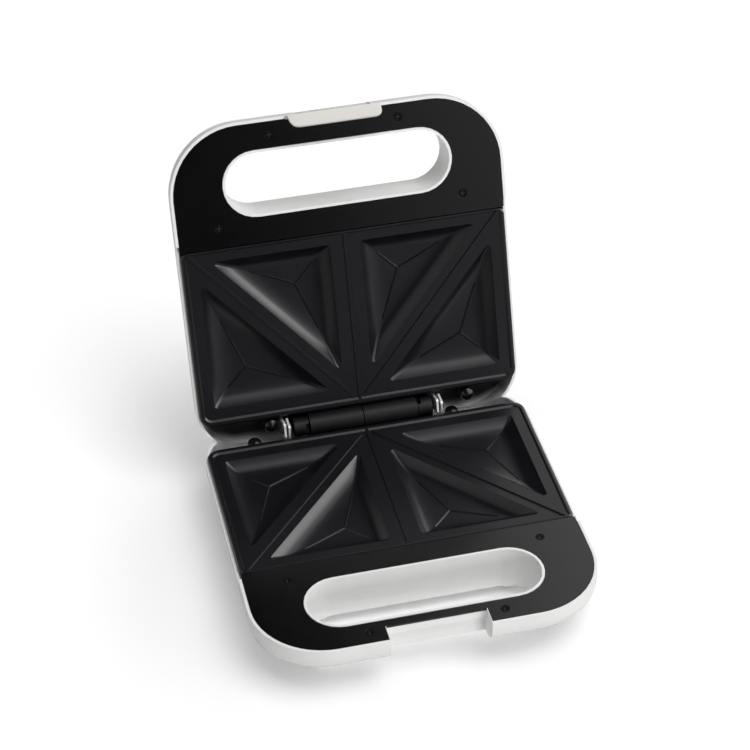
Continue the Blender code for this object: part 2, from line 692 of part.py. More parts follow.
def notch_cutters(is_lid):
    """Notch for the latch; the base's has a recess under the ledge that the hook grips."""
    void = notch_half_width(is_lid) - CLEAR - NOTCH_LIP
    start = BODY_FRONT - OVERRUN
    if is_lid:
        return [box((-void, void), (start, NOTCH_BACK_UPPER), (-LATCH_POCKET_DEPTH, OVERRUN))]
    deep = -(TABLE_DEPTH + OVERRUN)
    return [box((-void, void), (start, NOTCH_BACK_LOWER), (deep, OVERRUN)),
            box((-void, void), (start, NOTCH_BACK_LOWER + NOTCH_OVERHANG), (deep, -CATCH_DEPTH))]


def housing_cutters(is_lid):
    deep = -(TABLE_DEPTH + OVERRUN)
    cutters = [prism(stadium(SLOT_HALF_LENGTH - CLEAR - COLLAR_WALL,
                             SLOT_RADIUS - CLEAR - COLLAR_WALL, SLOT_MID_Y), deep, OVERRUN)]
    cutters += notch_cutters(is_lid)
    for x, y in BEZEL_SCREWS:
        cutters.append(rod(SCREW_SHANK + CLEAR, BEZEL_TOP - SCREW_LENGTH - CLEAR, OVERRUN,
                           centre=(x, y, 0.0)))
    for x in DECK_SCREWS:
        cutters.append(rod(DECK_SCREW_SHANK + CLEAR, DECK_UNDER - OVERRUN, 0.0,
                           centre=(x, DECK_SCREW_Y, 0.0)))
    slot_half = BRACKET_SHEET / 2 + BRACKET_SLOT_FIT
    for x in (-BRACKET_FOOT_X, BRACKET_OUTER_X):
        cutters.append(box((x - slot_half, x + slot_half),
                           (HINGE_Y - BRACKET_WIDTH / 2 - BRACKET_SLOT_FIT,
                            HINGE_Y + BRACKET_WIDTH / 2 + BRACKET_SLOT_FIT),
                           (DECK_UNDER - CLEAR, DECK_TOP + CLEAR)))
    cutters.append(rod(SLEEVE_RADIUS + RUN_FIT, DECK_UNDER - CLEAR, DECK_TOP + CLEAR,
                       centre=(-SLEEVE_X, HINGE_Y, 0.0)))
    return cutters


def lower_cutters():
    cutters = [rod(GLAND_NECK + CLEAR, BODY_BACK - WALL - CLEAR, BODY_BACK + OVERRUN,
                   axis="Y", centre=(GLAND_X, 0.0, -GLAND_DEPTH))]
    for x, y in foot_places():
        cutters.append(rod(FOOT_RADIUS + CLEAR, -(TABLE_DEPTH + OVERRUN),
                           -(FOOT_BOSS_DEPTH - FOOT_RECESS), centre=(x, y, 0.0)))
    return cutters


def upper_cutters():
    cutters = [rod(LENS_RADIUS + CLEAR, -(BODY_DEPTH + OVERRUN), FLOOR_TOP + CLEAR,
                   centre=(side * LIGHT_X, LIGHT_Y, 0.0)) for side in (-1, 1)]
    reach = NOTCH_UPPER_HALF_WIDTH - CLEAR - NOTCH_LIP + NOTCH_WALL / 2
    cutters.append(rod(LATCH_PIN + CLEAR, -reach, reach, axis="X",
                       centre=(0.0, LATCH_AXIS_Y, LATCH_AXIS_Z)))
    return cutters


def foot_places():
    return [(-FOOT_FRONT_X, FOOT_FRONT_Y), (FOOT_FRONT_X, FOOT_FRONT_Y),
            (-FOOT_BACK_X, FOOT_BACK_Y), (FOOT_BACK_X, FOOT_BACK_Y)]


def make_housing(name, material, half, is_lid):
    body = bowl(0.0, 0.0)
    if not is_lid:
        body = unite(body, *[rod(FOOT_BOSS_RADIUS, -FOOT_BOSS_DEPTH,
                                 FLOOR / 2 - underside(y - FOOT_BOSS_RADIUS),
                                 sides=LARGE_SIDES, centre=(x, y, 0.0))
                             for x, y in foot_places()])
    room = cut(bowl(WALL, FLOOR, top=OVERRUN), *housing_inserts(is_lid))
    cutters = housing_cutters(is_lid) + (upper_cutters() if is_lid else lower_cutters())
    return add_piece(name, cut(body, room, *cutters), material, half)


# Bezel

def bezel_outline():
    """Outline of the black plate round the handle slot, with square rear corners."""
    inset = WALL + CLEAR
    radius = BODY_FRONT_RADIUS - inset
    right = []
    for i in range(CORNER_STEPS + 1):
        angle = math.pi / 2 * (i / CORNER_STEPS - 1)
        right.append((BODY_HALF_WIDTH - inset - radius + radius * math.cos(angle),
                      BODY_FRONT + inset + radius + radius * math.sin(angle)))
    right.append((BODY_HALF_WIDTH - inset, BEZEL_BACK))
    return right + [(-x, y) for x, y in reversed(right)]


def make_bezel(name, material, half, is_lid):
    body = prism(bezel_outline(), BEZEL_UNDER, BEZEL_TOP)
    splash = box((-SPLASH_HALF_WIDTH, SPLASH_HALF_WIDTH),
                 (BEZEL_BACK - SPLASH_SETBACK - SPLASH_WALL, BEZEL_BACK - SPLASH_SETBACK),
                 (-SPLASH_DEPTH, BEZEL_TOP - BEZEL_THICK / 2))
    back = NOTCH_BACK_UPPER if is_lid else NOTCH_BACK_LOWER
    cutters = [prism(stadium(SLOT_HALF_LENGTH, SLOT_RADIUS, SLOT_MID_Y),
                     BEZEL_UNDER - OVERRUN, OVERRUN),
               box((-notch_half_width(is_lid), notch_half_width(is_lid)),
                   (BODY_FRONT - OVERRUN, back),
                   (BEZEL_UNDER - OVERRUN, OVERRUN))]
    for x, y in BEZEL_SCREWS:
        head = SCREW_HEAD + CLEAR
        seat = BEZEL_TOP - SCREW_HEAD_DEPTH - CLEAR
        cutters.append(turned([(0.0, BEZEL_UNDER - OVERRUN), (SCREW_SHANK + CLEAR, BEZEL_UNDER - OVERRUN),
                               (SCREW_SHANK + CLEAR, seat), (head, seat), (head, OVERRUN),
                               (0.0, OVERRUN)], centre=(x, y, 0.0)))
    return add_piece(name, cut(unite(body, splash), *cutters), material, half)


def make_bezel_screw(name, material, half, place):
    top = BEZEL_TOP
    body = turned([(0.0, top - SCREW_LENGTH), (SCREW_SHANK, top - SCREW_LENGTH),
                   (SCREW_SHANK, top - SCREW_HEAD_DEPTH), (SCREW_HEAD, top - SCREW_HEAD_DEPTH),
                   (SCREW_HEAD, top), (0.0, top)], centre=(*place, 0.0))
    return add_piece(name, cut(body, *cross_cutters(place, top)), material, half)


def cross_cutters(place, top):
    x, y = place
    depth = (top - SCREW_CROSS_DEPTH, top + OVERRUN)
    wide, thin = SCREW_CROSS, SCREW_CROSS_WIDTH / 2
    return [box((x - wide, x + wide), (y - thin, y + thin), depth),
            box((x - thin, x + thin), (y - wide, y + wide), depth)]


# Cooking plate

def plate_ring(insets, z):
    """One level of the plate's edge, with insets at its sides, front and back."""
    side, front, back = insets
    half = []
    radius = max(PLATE_FRONT_RADIUS - side, CLEAR)
    for i in range(POCKET_STEPS + 1):
        angle = math.pi / 2 * (i / POCKET_STEPS - 1)
        half.append((PLATE_HALF_WIDTH - side - radius + radius * math.cos(angle),
                     front + radius + radius * math.sin(angle), z))
    radius = PLATE_BACK_RADIUS - side
    for i in range(POCKET_STEPS + 2):
        angle = math.pi / 2 * i / (POCKET_STEPS + 1)
        half.append((PLATE_HALF_WIDTH - side - radius + radius * math.cos(angle),
                     PLATE_LENGTH - back - radius + radius * math.sin(angle), z))
    return mirrored_ring(half)


def plate_body():
    inner = (PLATE_SHEET, PLATE_SHEET, PLATE_SHEET)
    lip = (PLATE_LIP_OVERHANG, 0.0, PLATE_LIP_OVERHANG)
    flush = (0.0, 0.0, 0.0)
    return loft([
        plate_ring(inner, SHEET_UNDER),
        plate_ring(inner, -PLATE_SKIRT_DEPTH),
        plate_ring(lip, -PLATE_SKIRT_DEPTH),
        plate_ring(lip, -PLATE_LIP_DROP - CLEAR),
        plate_ring(flush, -PLATE_LIP_DROP),
        plate_ring(flush, -PLATE_EDGE_DROP),
        plate_ring(PLATE_ROUND_INSETS, -PLATE_ROUND_DROP),
        plate_ring(BEAD_OUTER_INSETS, 0.0),
        plate_ring(BEAD_INNER_INSETS, 0.0),
        plate_ring(LAND_INSETS, LAND_Z),
    ])


def bar(start, end, foot, top, low, high):
    """Straight ridge between two points, wider at its foot than at its top."""
    start, end = Vector(start), Vector(end)
    along = (end - start).normalized()
    across = Vector((-along.y, along.x))
    rings = []
    for point in (start, end):
        rings.append([(*(point - across * foot / 2), low), (*(point + across * foot / 2), low),
                      (*(point + across * top / 2), high), (*(point - across * top / 2), high)])
    return loft(rings)


def plate_ridges():
    back = PLATE_LENGTH - BEAD_INNER_INSETS[2]
    low = LAND_Z - PLATE_SHEET / 2
    ridges = [bar((0.0, RIDGE_END_Y), (0.0, back), RIDGE_FOOT, RIDGE_TOP, low, 0.0)]
    for side in (-1, 1):
        ridges.append(bar((side * RIDGE_MEET_X, RIDGE_MEET_Y), (side * RIDGE_END_X, RIDGE_END_Y),
                          RIDGE_FOOT, RIDGE_TOP, low, 0.0))
    return ridges


def pocket_corners():
    """Corners of the four triangular pockets, in the plane of the plate's face."""
    pockets = []
    for side in (-1, 1):
        pockets.append([(side * POCKET_SIDE_X, POCKET_BACK_Y),
                        (side * POCKET_SIDE_TIP_X, POCKET_BACK_Y),
                        (side * POCKET_SIDE_X, POCKET_SIDE_TIP_Y)])
        pockets.append([(side * POCKET_MID_X, POCKET_FRONT_Y),
                        (side * POCKET_MID_TIP_X, POCKET_FRONT_Y),
                        (side * POCKET_MID_X, POCKET_MID_TIP_Y)])
    return pockets


def incentre(corners):
    a, b, c = (Vector(corner) for corner in corners)
    la, lb, lc = (b - c).length, (c - a).length, (a - b).length
    return (a * la + b * lb + c * lc) / (la + lb + lc)


def inradius(corners):
    a, b, c = (Vector(corner) for corner in corners)
    la, lb, lc = (b - c).length, (c - a).length, (a - b).length
    half = (la + lb + lc) / 2
    return math.sqrt(half * (half - la) * (half - lb) * (half - lc)) / half


def triangle_ring(corners, inset, radius, z):
    """Rounded triangle whose sides lie an inset inside those of the corners."""
    centre = incentre(corners)
    share = 1 - inset / inradius(corners)
    moved = [centre + (Vector(corner) - centre) * share for corner in corners]
    ring = []
    for i, corner in enumerate(moved):
        first = (moved[i - 1] - corner).normalized()
        second = (moved[(i + 1) % 3] - corner).normalized()
        half_turn = first.angle(second) / 2
        middle = corner + (first + second).normalized() * radius / math.sin(half_turn)
        start = (corner + first * radius / math.tan(half_turn)) - middle
        end = (corner + second * radius / math.tan(half_turn)) - middle
        sweep = start.angle(end)
        for k in range(POCKET_STEPS + 1):
            part = k / POCKET_STEPS
            spot = (start * math.sin((1 - part) * sweep)
                    + end * math.sin(part * sweep)) / math.sin(sweep)
            ring.append((*(middle + spot), z))
    return ring


def pocket_solid(corners, outset, top, levels):
    """Body of one pocket, its walls curving in to a small flat floor."""
    low = POCKET_FLOOR - outset
    rings = [triangle_ring(corners, -outset, POCKET_ROUND, top)]
    for run, fall in levels:
        inset = POCKET_WALL_RUN * run - outset
        z = LAND_Z + (low - LAND_Z) * fall
        rings.append(triangle_ring(corners, inset, POCKET_ROUND * (1 - run / 2), z))
    return loft(rings)


def star_ring(centre, ends, width, z):
    """Outline of straight arms that run from a centre to each of the ends."""
    ends = sorted(ends, key=lambda end: math.atan2(end.y - centre.y, end.x - centre.x))
    ring = []
    for i, end in enumerate(ends):
        along = (end - centre).normalized()
        across = Vector((-along.y, along.x)) * width / 2
        beside = (ends[(i + 1) % len(ends)] - centre).normalized()
        half_turn = math.atan2(along.cross(beside), along.dot(beside)) % math.tau / 2
        middle = Matrix.Rotation(half_turn, 2) @ along
        ring += [(*(end - across), z), (*(end + across), z),
                 (*(centre + middle * width / 2 / math.sin(half_turn)), z)]
    return ring


def pocket_arms(corners):
    """Low creases on a pocket's floor, from its middle towards its corners."""
    centre = incentre(corners)
    ends = [centre + (Vector(corner) - centre) * POCKET_ARM_SHARE for corner in corners]
    return loft([star_ring(centre, ends, POCKET_ARM_WIDTH, POCKET_FLOOR - PLATE_SHEET / 2),
                 star_ring(centre, ends, POCKET_ARM_WIDTH, POCKET_FLOOR),
                 star_ring(centre, ends, POCKET_ARM_WIDTH / 4, POCKET_FLOOR + POCKET_ARM_HEIGHT)])


def plate_tab(side):
    x = side * SCREW_SIDE_X
    plate_end = PLATE_SHEET / 2
    return cut(box((x - TAB_HALF_WIDTH, x + TAB_HALF_WIDTH), (SCREW_SIDE_Y - TAB_NOSE, plate_end),
                   (TAB_UNDER, TAB_TOP)),
               rod(SCREW_SHANK + CLEAR, TAB_UNDER - CLEAR, TAB_TOP + CLEAR,
                   centre=(x, SCREW_SIDE_Y, 0.0)))


def make_plate(name, material, half):
    body = plate_body()
    pockets = pocket_corners()
    body = unite(body, *[pocket_solid(corners, PLATE_SHEET, SHEET_UNDER + CLEAR,
                                      POCKET_UNDER_SHARES) for corners in pockets])
    body = cut(body, *[pocket_solid(corners, 0.0, OVERRUN, POCKET_LEVEL_SHARES)
                       for corners in pockets])
    arms = [pocket_arms(corners) for corners in pockets]
    body = unite(body, *plate_ridges(), *arms, plate_tab(-1), plate_tab(1))
    return add_piece(name, body, material, half, smooth=30.0)


# Heater, reflector and electrical pieces

def make_heater(name, material, half):
    corners = [(-HEATER_END_X, HEATER_BACK, HEATER_Z), (-HEATER_HALF_WIDTH, HEATER_BACK, HEATER_Z),
               (-HEATER_HALF_WIDTH, HEATER_FRONT, HEATER_Z),
               (HEATER_HALF_WIDTH, HEATER_FRONT, HEATER_Z),
               (HEATER_HALF_WIDTH, HEATER_BACK, HEATER_Z), (HEATER_END_X, HEATER_BACK, HEATER_Z)]
    return tube(name, rounded_path(corners, HEATER_BEND), HEATER_RADIUS, material, half)


def make_pan(name, material, half):
    outer = box((-PAN_HALF_WIDTH, PAN_HALF_WIDTH), (PAN_FRONT, PAN_BACK),
                (PAN_UNDER, PAN_TOP + PAN_LIP))
    inner = box((PAN_SHEET - PAN_HALF_WIDTH, PAN_HALF_WIDTH - PAN_SHEET),
                (PAN_FRONT + PAN_SHEET, PAN_BACK - PAN_SHEET), (PAN_TOP, OVERRUN))
    return add_piece(name, cut(outer, inner), material, half)


def make_thermostat(name, material, half):
    top = PAN_UNDER - CLEAR
    low = top - THERMOSTAT_HEIGHT
    cap = THERMOSTAT_RADIUS * THERMOSTAT_CAP_SHARE
    pin = THERMOSTAT_RADIUS / 3
    rim = top - THERMOSTAT_HEIGHT / 4
    body = turned([(0.0, low - THERMOSTAT_PIN), (pin, low - THERMOSTAT_PIN), (pin, low),
                   (cap, low), (cap, rim), (THERMOSTAT_RADIUS, rim), (THERMOSTAT_RADIUS, top),
                   (0.0, top)], centre=(0.0, THERMOSTAT_Y, 0.0))
    return add_piece(name, body, material, half)


def make_fuse(material, half):
    body = rod(FUSE_RADIUS, -FUSE_LENGTH / 2, FUSE_LENGTH / 2, axis="Y",
               centre=(FUSE_X, THERMOSTAT_Y, PAN_UNDER - CLEAR - FUSE_RADIUS))
    return add_piece("thermal_fuse", body, material, half)


def make_terminal_block(material, half):
    low = FLOOR_TOP + CLEAR
    top = low + BLOCK_HEIGHT
    body = box((BLOCK_X - BLOCK_SIZE_X / 2, BLOCK_X + BLOCK_SIZE_X / 2),
               (BLOCK_Y - BLOCK_SIZE_Y / 2, BLOCK_Y + BLOCK_SIZE_Y / 2), (low, top))
    wells = [rod(BLOCK_SCREW, top - BLOCK_HEIGHT / 2, top + OVERRUN,
                 centre=(BLOCK_X + step * BLOCK_SIZE_X / 3, BLOCK_Y, 0.0)) for step in (-1, 0, 1)]
    return add_piece("terminal_block", cut(body, *wells), material, half)


def make_leads(material, half):
    level = FLOOR_TOP + BLOCK_HEIGHT / 2
    block_face = BLOCK_X - BLOCK_SIZE_X / 2 - CLEAR
    fuse_end = THERMOSTAT_Y + FUSE_LENGTH / 2 + CLEAR
    fuse_level = PAN_UNDER - CLEAR - FUSE_RADIUS
    tube("fuse_lead", rounded_path([(block_face, BLOCK_Y, level), (FUSE_X, BLOCK_Y, level),
                                    (FUSE_X, fuse_end + BLOCK_SIZE_Y / 2, fuse_level),
                                    (FUSE_X, fuse_end, fuse_level)], FUSE_RADIUS),
         LEAD_RADIUS, material, half, detail=1)
    pin_level = PAN_UNDER - CLEAR - THERMOSTAT_HEIGHT - THERMOSTAT_PIN / 2
    start = THERMOSTAT_RADIUS / 3 + CLEAR
    tube("thermostat_lead", rounded_path([(-start, THERMOSTAT_Y, pin_level),
                                          (-SLEEVE_X, THERMOSTAT_Y, pin_level),
                                          (-SLEEVE_X, HINGE_Y - SLEEVE_RADIUS - CLEAR, pin_level)],
                                         THERMOSTAT_PIN),
         LEAD_RADIUS, material, half, detail=1)


# Rear deck hardware and hinge

def make_deck_screw(name, material, half, x):
    top = -DECK_SCREW_TOP
    seat = top - DECK_SCREW_HEAD_HEIGHT
    profile = [(0.0, top - DECK_SCREW_LENGTH - DECK_SCREW_HEAD_HEIGHT),
               (DECK_SCREW_SHANK, top - DECK_SCREW_LENGTH - DECK_SCREW_HEAD_HEIGHT),
               (DECK_SCREW_SHANK, seat), (DECK_SCREW_HEAD, seat)]
    for i in range(DOME_STEPS):
        angle = math.pi / 2 * i / DOME_STEPS
        profile.append((DECK_SCREW_HEAD * math.cos(angle),
                        seat + DECK_SCREW_HEAD_HEIGHT
                        * (DOME_FOOT_SHARE + (1 - DOME_FOOT_SHARE) * math.sin(angle))))
    profile.append((0.0, top))
    place = (x, DECK_SCREW_Y)
    body = turned(profile, sides=LARGE_SIDES, centre=(*place, 0.0))
    return add_piece(name, cut(body, *cross_cutters(place, top)), material, half)


def bracket_plate(x, low, high):
    """Upright strip in a plane of constant x, from low to high."""
    return box((x - BRACKET_SHEET / 2, x + BRACKET_SHEET / 2),
               (HINGE_Y - BRACKET_WIDTH / 2, HINGE_Y + BRACKET_WIDTH / 2), (low, high))


def bracket_end(x):
    """Upper end of a strip round the pivot, square with rounded corners."""
    reach = BRACKET_WIDTH / 2 - BRACKET_CORNER
    ring = []
    for across, along in ((1, 1), (-1, 1), (-1, -1), (1, -1)):
        start = math.atan2(along, across) - math.pi / 4
        for i in range(BRACKET_CORNER_STEPS + 1):
            angle = start + math.pi / 2 * i / BRACKET_CORNER_STEPS
            ring.append((HINGE_Y + across * reach + BRACKET_CORNER * math.cos(angle),
                         HINGE_Z + along * reach + BRACKET_CORNER * math.sin(angle)))
    return loft([[(face, y, z) for y, z in ring]
                 for face in (x - BRACKET_SHEET / 2, x + BRACKET_SHEET / 2)])


def make_bracket(name, material, half, joggled):
    side = -1 if joggled else 1
    eye_x = side * (BRACKET_EYE_X if joggled else BRACKET_OUTER_X)
    foot_x = side * (BRACKET_FOOT_X if joggled else BRACKET_OUTER_X)
    screw_x = DECK_SCREWS[0] if joggled else DECK_SCREWS[1]
    jog_top = HINGE_Z - BRACKET_JOG_TOP
    jog_low = jog_top - BRACKET_JOG_RUN
    flange_top = DECK_UNDER - CLEAR
    half_sheet = BRACKET_SHEET / 2
    parts = [bracket_end(eye_x), bracket_plate(eye_x, jog_top, HINGE_Z)]
    if joggled:
        y0, y1 = HINGE_Y - BRACKET_WIDTH / 2, HINGE_Y + BRACKET_WIDTH / 2
        rings = [[(x - half_sheet, y0, z), (x + half_sheet, y0, z), (x + half_sheet, y1, z),
                  (x - half_sheet, y1, z)] for x, z in ((eye_x, jog_top), (foot_x, jog_low))]
        parts += [loft(rings), bracket_plate(foot_x, flange_top - BRACKET_SHEET, jog_low)]
    else:
        parts.append(bracket_plate(foot_x, flange_top - BRACKET_SHEET, jog_top))
    inner = foot_x - side * half_sheet
    end = screw_x + side * BRACKET_FLANGE_OVERHANG
    parts.append(box(tuple(sorted((inner, end))),
                     (DECK_SCREW_Y - BRACKET_FLANGE_OVERHANG, HINGE_Y + BRACKET_WIDTH / 2),
                     (flange_top - BRACKET_SHEET, flange_top)))
    holes = [rod(RIVET_RADIUS + CLEAR, eye_x - BRACKET_SHEET, eye_x + BRACKET_SHEET, axis="X",
                 centre=(0.0, HINGE_Y, HINGE_Z)),
             rod(DECK_SCREW_SHANK + CLEAR, flange_top - BRACKET_SHEET - CLEAR, flange_top + CLEAR,
                 centre=(screw_x, DECK_SCREW_Y, 0.0))]
    return add_piece(name, cut(unite(*parts), *holes), material, half)


def make_rivet(name, material, half, side):
    inner = BRACKET_EYE_X - BRACKET_SHEET / 2 - CLEAR
    outer = BRACKET_OUTER_X + BRACKET_SHEET / 2 + CLEAR
    profile = [(0.0, inner - RIVET_HEAD_THICK), (RIVET_HEAD, inner - RIVET_HEAD_THICK),
               (RIVET_HEAD, inner), (RIVET_RADIUS, inner), (RIVET_RADIUS, outer),
               (RIVET_HEAD, outer), (RIVET_HEAD, outer + RIVET_HEAD_THICK),
               (0.0, outer + RIVET_HEAD_THICK)]
    profile = [(radius, side * x) for radius, x in profile]
    return add_piece(name, turned(profile, sides=LARGE_SIDES, axis="X",
                                  centre=(0.0, HINGE_Y, HINGE_Z)), material, half)


def make_washer(name, material, half, side):
    inner = BRACKET_EYE_X + BRACKET_SHEET / 2 + CLEAR
    outer = BRACKET_OUTER_X - BRACKET_SHEET / 2 - CLEAR
    bore = RIVET_RADIUS + CLEAR
    profile = [(bore, side * inner), (WASHER_RADIUS, side * inner),
               (WASHER_RADIUS, side * outer), (bore, side * outer)]
    return add_piece(name, turned(profile, sides=LARGE_SIDES, axis="X",
                                  centre=(0.0, HINGE_Y, HINGE_Z)), material, half)


def make_hinge_cover(name, material, half):
    flange_low = DECK_TOP + CLEAR
    flange_top = flange_low + COVER_FLANGE_THICK
    near = BARREL_SPLIT / 2
    knuckle_start = BARREL_END + BARREL_SPLIT
    axis = (0.0, HINGE_Y, HINGE_Z)
    parts = [rod(BARREL_RADIUS, -BARREL_END, -near, sides=LARGE_SIDES, axis="X", centre=axis),
             box((-SLEEVE_X - COVER_WEB_LONG / 2, -SLEEVE_X + COVER_WEB_LONG / 2),
                 (HINGE_Y - COVER_WEB / 2, HINGE_Y + COVER_WEB / 2), (flange_low, HINGE_Z)),
             box((-KNUCKLE_END, KNUCKLE_END),
                 (HINGE_Y - COVER_FLANGE_LENGTH / 2, HINGE_Y + COVER_FLANGE_LENGTH / 2),
                 (flange_low, flange_top)),
             box((knuckle_start, KNUCKLE_END),
                 (HINGE_Y - KNUCKLE_POST / 2, HINGE_Y + KNUCKLE_POST / 2), (flange_low, HINGE_Z)),
             rod(KNUCKLE_RADIUS, knuckle_start, KNUCKLE_END, sides=LARGE_SIDES, axis="X",
                 centre=axis),
             rod(SPIGOT_RADIUS, knuckle_start - SPIGOT_LENGTH, knuckle_start + CLEAR,
                 axis="X", centre=axis)]
    body = cut(unite(*parts),
               rod(BARREL_BORE, -BARREL_END - OVERRUN, 0.0, sides=LARGE_SIDES, axis="X",
                   centre=axis),
               rod(SLEEVE_RADIUS + RUN_FIT, flange_low - CLEAR, HINGE_Z,
                   centre=(-SLEEVE_X, HINGE_Y, 0.0)),
               box((knuckle_start - CLEAR, knuckle_start + KNUCKLE_NOTCH_LENGTH),
                   (HINGE_Y - KNUCKLE_NOTCH_HALF_WIDTH, HINGE_Y + KNUCKLE_NOTCH_HALF_WIDTH),
                   (HINGE_Z + SPIGOT_RADIUS + CLEAR, HINGE_Z + KNUCKLE_RADIUS + OVERRUN)))
    return add_piece(name, body, material, half)


def make_sleeve(name, material, half):
    path = rounded_path([(-SLEEVE_X, HINGE_Y, -SLEEVE_DEPTH), (-SLEEVE_X, HINGE_Y, HINGE_Z),
                         (-BARREL_SPLIT / 2, HINGE_Y, HINGE_Z)], SLEEVE_BEND)
    return tube(name, path, SLEEVE_RADIUS, material, half)


# Feet, gland and clamp of the base

def make_foot(name, material, half, place):
    top = -(FOOT_BOSS_DEPTH - FOOT_RECESS) - CLEAR
    return add_piece(name, rod(FOOT_RADIUS, -TABLE_DEPTH, top, sides=LARGE_SIDES,
                               centre=(*place, 0.0)), material, half)


def make_gland(material, half):
    inner = BODY_BACK - WALL - CLEAR
    outer = BODY_BACK + CLEAR
    profile = [(GLAND_BORE, inner - GLAND_FLANGE_THICK), (GLAND_FLANGE, inner - GLAND_FLANGE_THICK),
               (GLAND_FLANGE, inner), (GLAND_NECK, inner), (GLAND_NECK, outer),
               (GLAND_FLANGE, outer), (GLAND_FLANGE * GLAND_TAPER_SHARE, outer + GLAND_FLANGE_THICK),
               (GLAND_BORE, outer + GLAND_FLANGE_THICK)]
    return add_piece("cord_gland", turned(profile, sides=LARGE_SIDES, axis="Y",
                                          centre=(GLAND_X, 0.0, -GLAND_DEPTH)), material, half)


def make_clamp(material, half):
    low = FLOOR_TOP + CLEAR
    body = box((GLAND_X - CLAMP_SIZE_X / 2, GLAND_X + CLAMP_SIZE_X / 2),
               (CLAMP_Y - CLAMP_SIZE_Y / 2, CLAMP_Y + CLAMP_SIZE_Y / 2), (low, low + CLAMP_HEIGHT))
    groove = rod(GLAND_BORE, CLAMP_Y - CLAMP_SIZE_Y, CLAMP_Y + CLAMP_SIZE_Y, axis="Y",
                 centre=(GLAND_X, 0.0, low + CLAMP_HEIGHT))
    wells = [rod(SCREW_SHANK, low + CLAMP_HEIGHT / 2, low + CLAMP_HEIGHT + OVERRUN,
                 centre=(GLAND_X + side * CLAMP_SCREW_X, CLAMP_Y, 0.0)) for side in (-1, 1)]
    return add_piece("cord_clamp", cut(body, groove, *wells), material, half)


# Indicator lights and latch of the lid

def make_light(side, lens_name, lamp_name, lens_material, lamp_material, half):
    outer = -(BODY_DEPTH + LENS_RISE)
    seat = FLOOR_TOP + CLEAR
    place = (side * LIGHT_X, LIGHT_Y, 0.0)
    lens = turned([(0.0, outer), (LENS_RADIUS * LENS_FLAT_SHARE, outer), (LENS_RADIUS, outer + LENS_RISE),
                   (LENS_RADIUS, seat), (LENS_FLANGE, seat), (LENS_FLANGE, seat + LENS_FLANGE_THICK),
                   (0.0, seat + LENS_FLANGE_THICK)], sides=LARGE_SIDES, centre=place)
    add_piece(lens_name, lens, lens_material, half)
    low = seat + LENS_FLANGE_THICK + CLEAR
    add_piece(lamp_name, rod(LAMP_RADIUS, low, low + LAMP_LENGTH, centre=place),
              lamp_material, half)


def make_lamp_holder(material, half):
    low = FLOOR_TOP + CLEAR + LENS_FLANGE_THICK + CLEAR
    body = box((-HOLDER_SIZE_X / 2, HOLDER_SIZE_X / 2),
               (LIGHT_Y - HOLDER_SIZE_Y / 2, LIGHT_Y + HOLDER_SIZE_Y / 2),
               (low, low + HOLDER_THICK))
    bores = [rod(LAMP_RADIUS + CLEAR, low - CLEAR, low + HOLDER_THICK + CLEAR,
                 centre=(side * LIGHT_X, LIGHT_Y, 0.0)) for side in (-1, 1)]
    return add_piece("lamp_holder", cut(body, *bores), material, half)


def latch_section():
    """Side view of the latch's plate about its pin: (outward, reach) points round it."""
    outer = [(LATCH_SHOULDER_OUT, LATCH_SHOULDER_REACH), (LATCH_BULGE_OUT, LATCH_BULGE_REACH),
             (LATCH_BEND_OUT, LATCH_BEND_REACH), (LATCH_TIP_OUT, LATCH_TIP_REACH)]
    inner = [(LATCH_TIP_OUT - LATCH_THICK / 2, LATCH_TIP_REACH - LATCH_THICK / 2),
             (LATCH_BEND_OUT - LATCH_THICK, LATCH_BEND_REACH - LATCH_THICK / 3),
             (LATCH_BULGE_OUT - LATCH_THICK, LATCH_BULGE_REACH),
             (LATCH_SHOULDER_OUT - LATCH_THICK, LATCH_SHOULDER_REACH)]
    return outer + inner


def latch_root():
    """Narrow neck between the latch's pin and its plate."""
    section = [(LATCH_BARREL, -LATCH_BARREL / 2), (LATCH_MOUTH_OUT, -LATCH_AXIS_Z),
               (LATCH_ROOT_OUT, LATCH_ROOT_REACH), (LATCH_ROOT_IN, LATCH_ROOT_REACH),
               (LATCH_MOUTH_OUT - LATCH_THICK, -LATCH_AXIS_Z), (0.0, 0.0)]
    return loft([[(x, -outward, reach) for outward, reach in section]
                 for x in (-LATCH_ROOT_HALF_WIDTH, LATCH_ROOT_HALF_WIDTH)])


def latch_width(reach):
    """Half the width of the latch's plate, which tapers towards its tip."""
    share = (reach - LATCH_SHOULDER_REACH) / (LATCH_TIP_REACH - LATCH_SHOULDER_REACH)
    return LATCH_SHOULDER_HALF_WIDTH + (LATCH_TIP_HALF_WIDTH - LATCH_SHOULDER_HALF_WIDTH) * share


def latch_ring(across, corner_share):
    """The latch's section, its end drawn back near the rounded corners."""
    fall = LATCH_CORNER * (1 - math.sqrt(1 - corner_share * corner_share))
    keep_share = 1 - fall / (LATCH_TIP_REACH - LATCH_BULGE_REACH)
    ring = []
    for outward, reach in latch_section():
        if reach > LATCH_BULGE_REACH:
            middle = LATCH_BULGE_OUT - LATCH_THICK / 2
            outward = middle + (outward - middle) * keep_share
            reach = LATCH_BULGE_REACH + (reach - LATCH_BULGE_REACH) * keep_share
        ring.append((across * latch_width(reach), -outward, reach))
    return ring


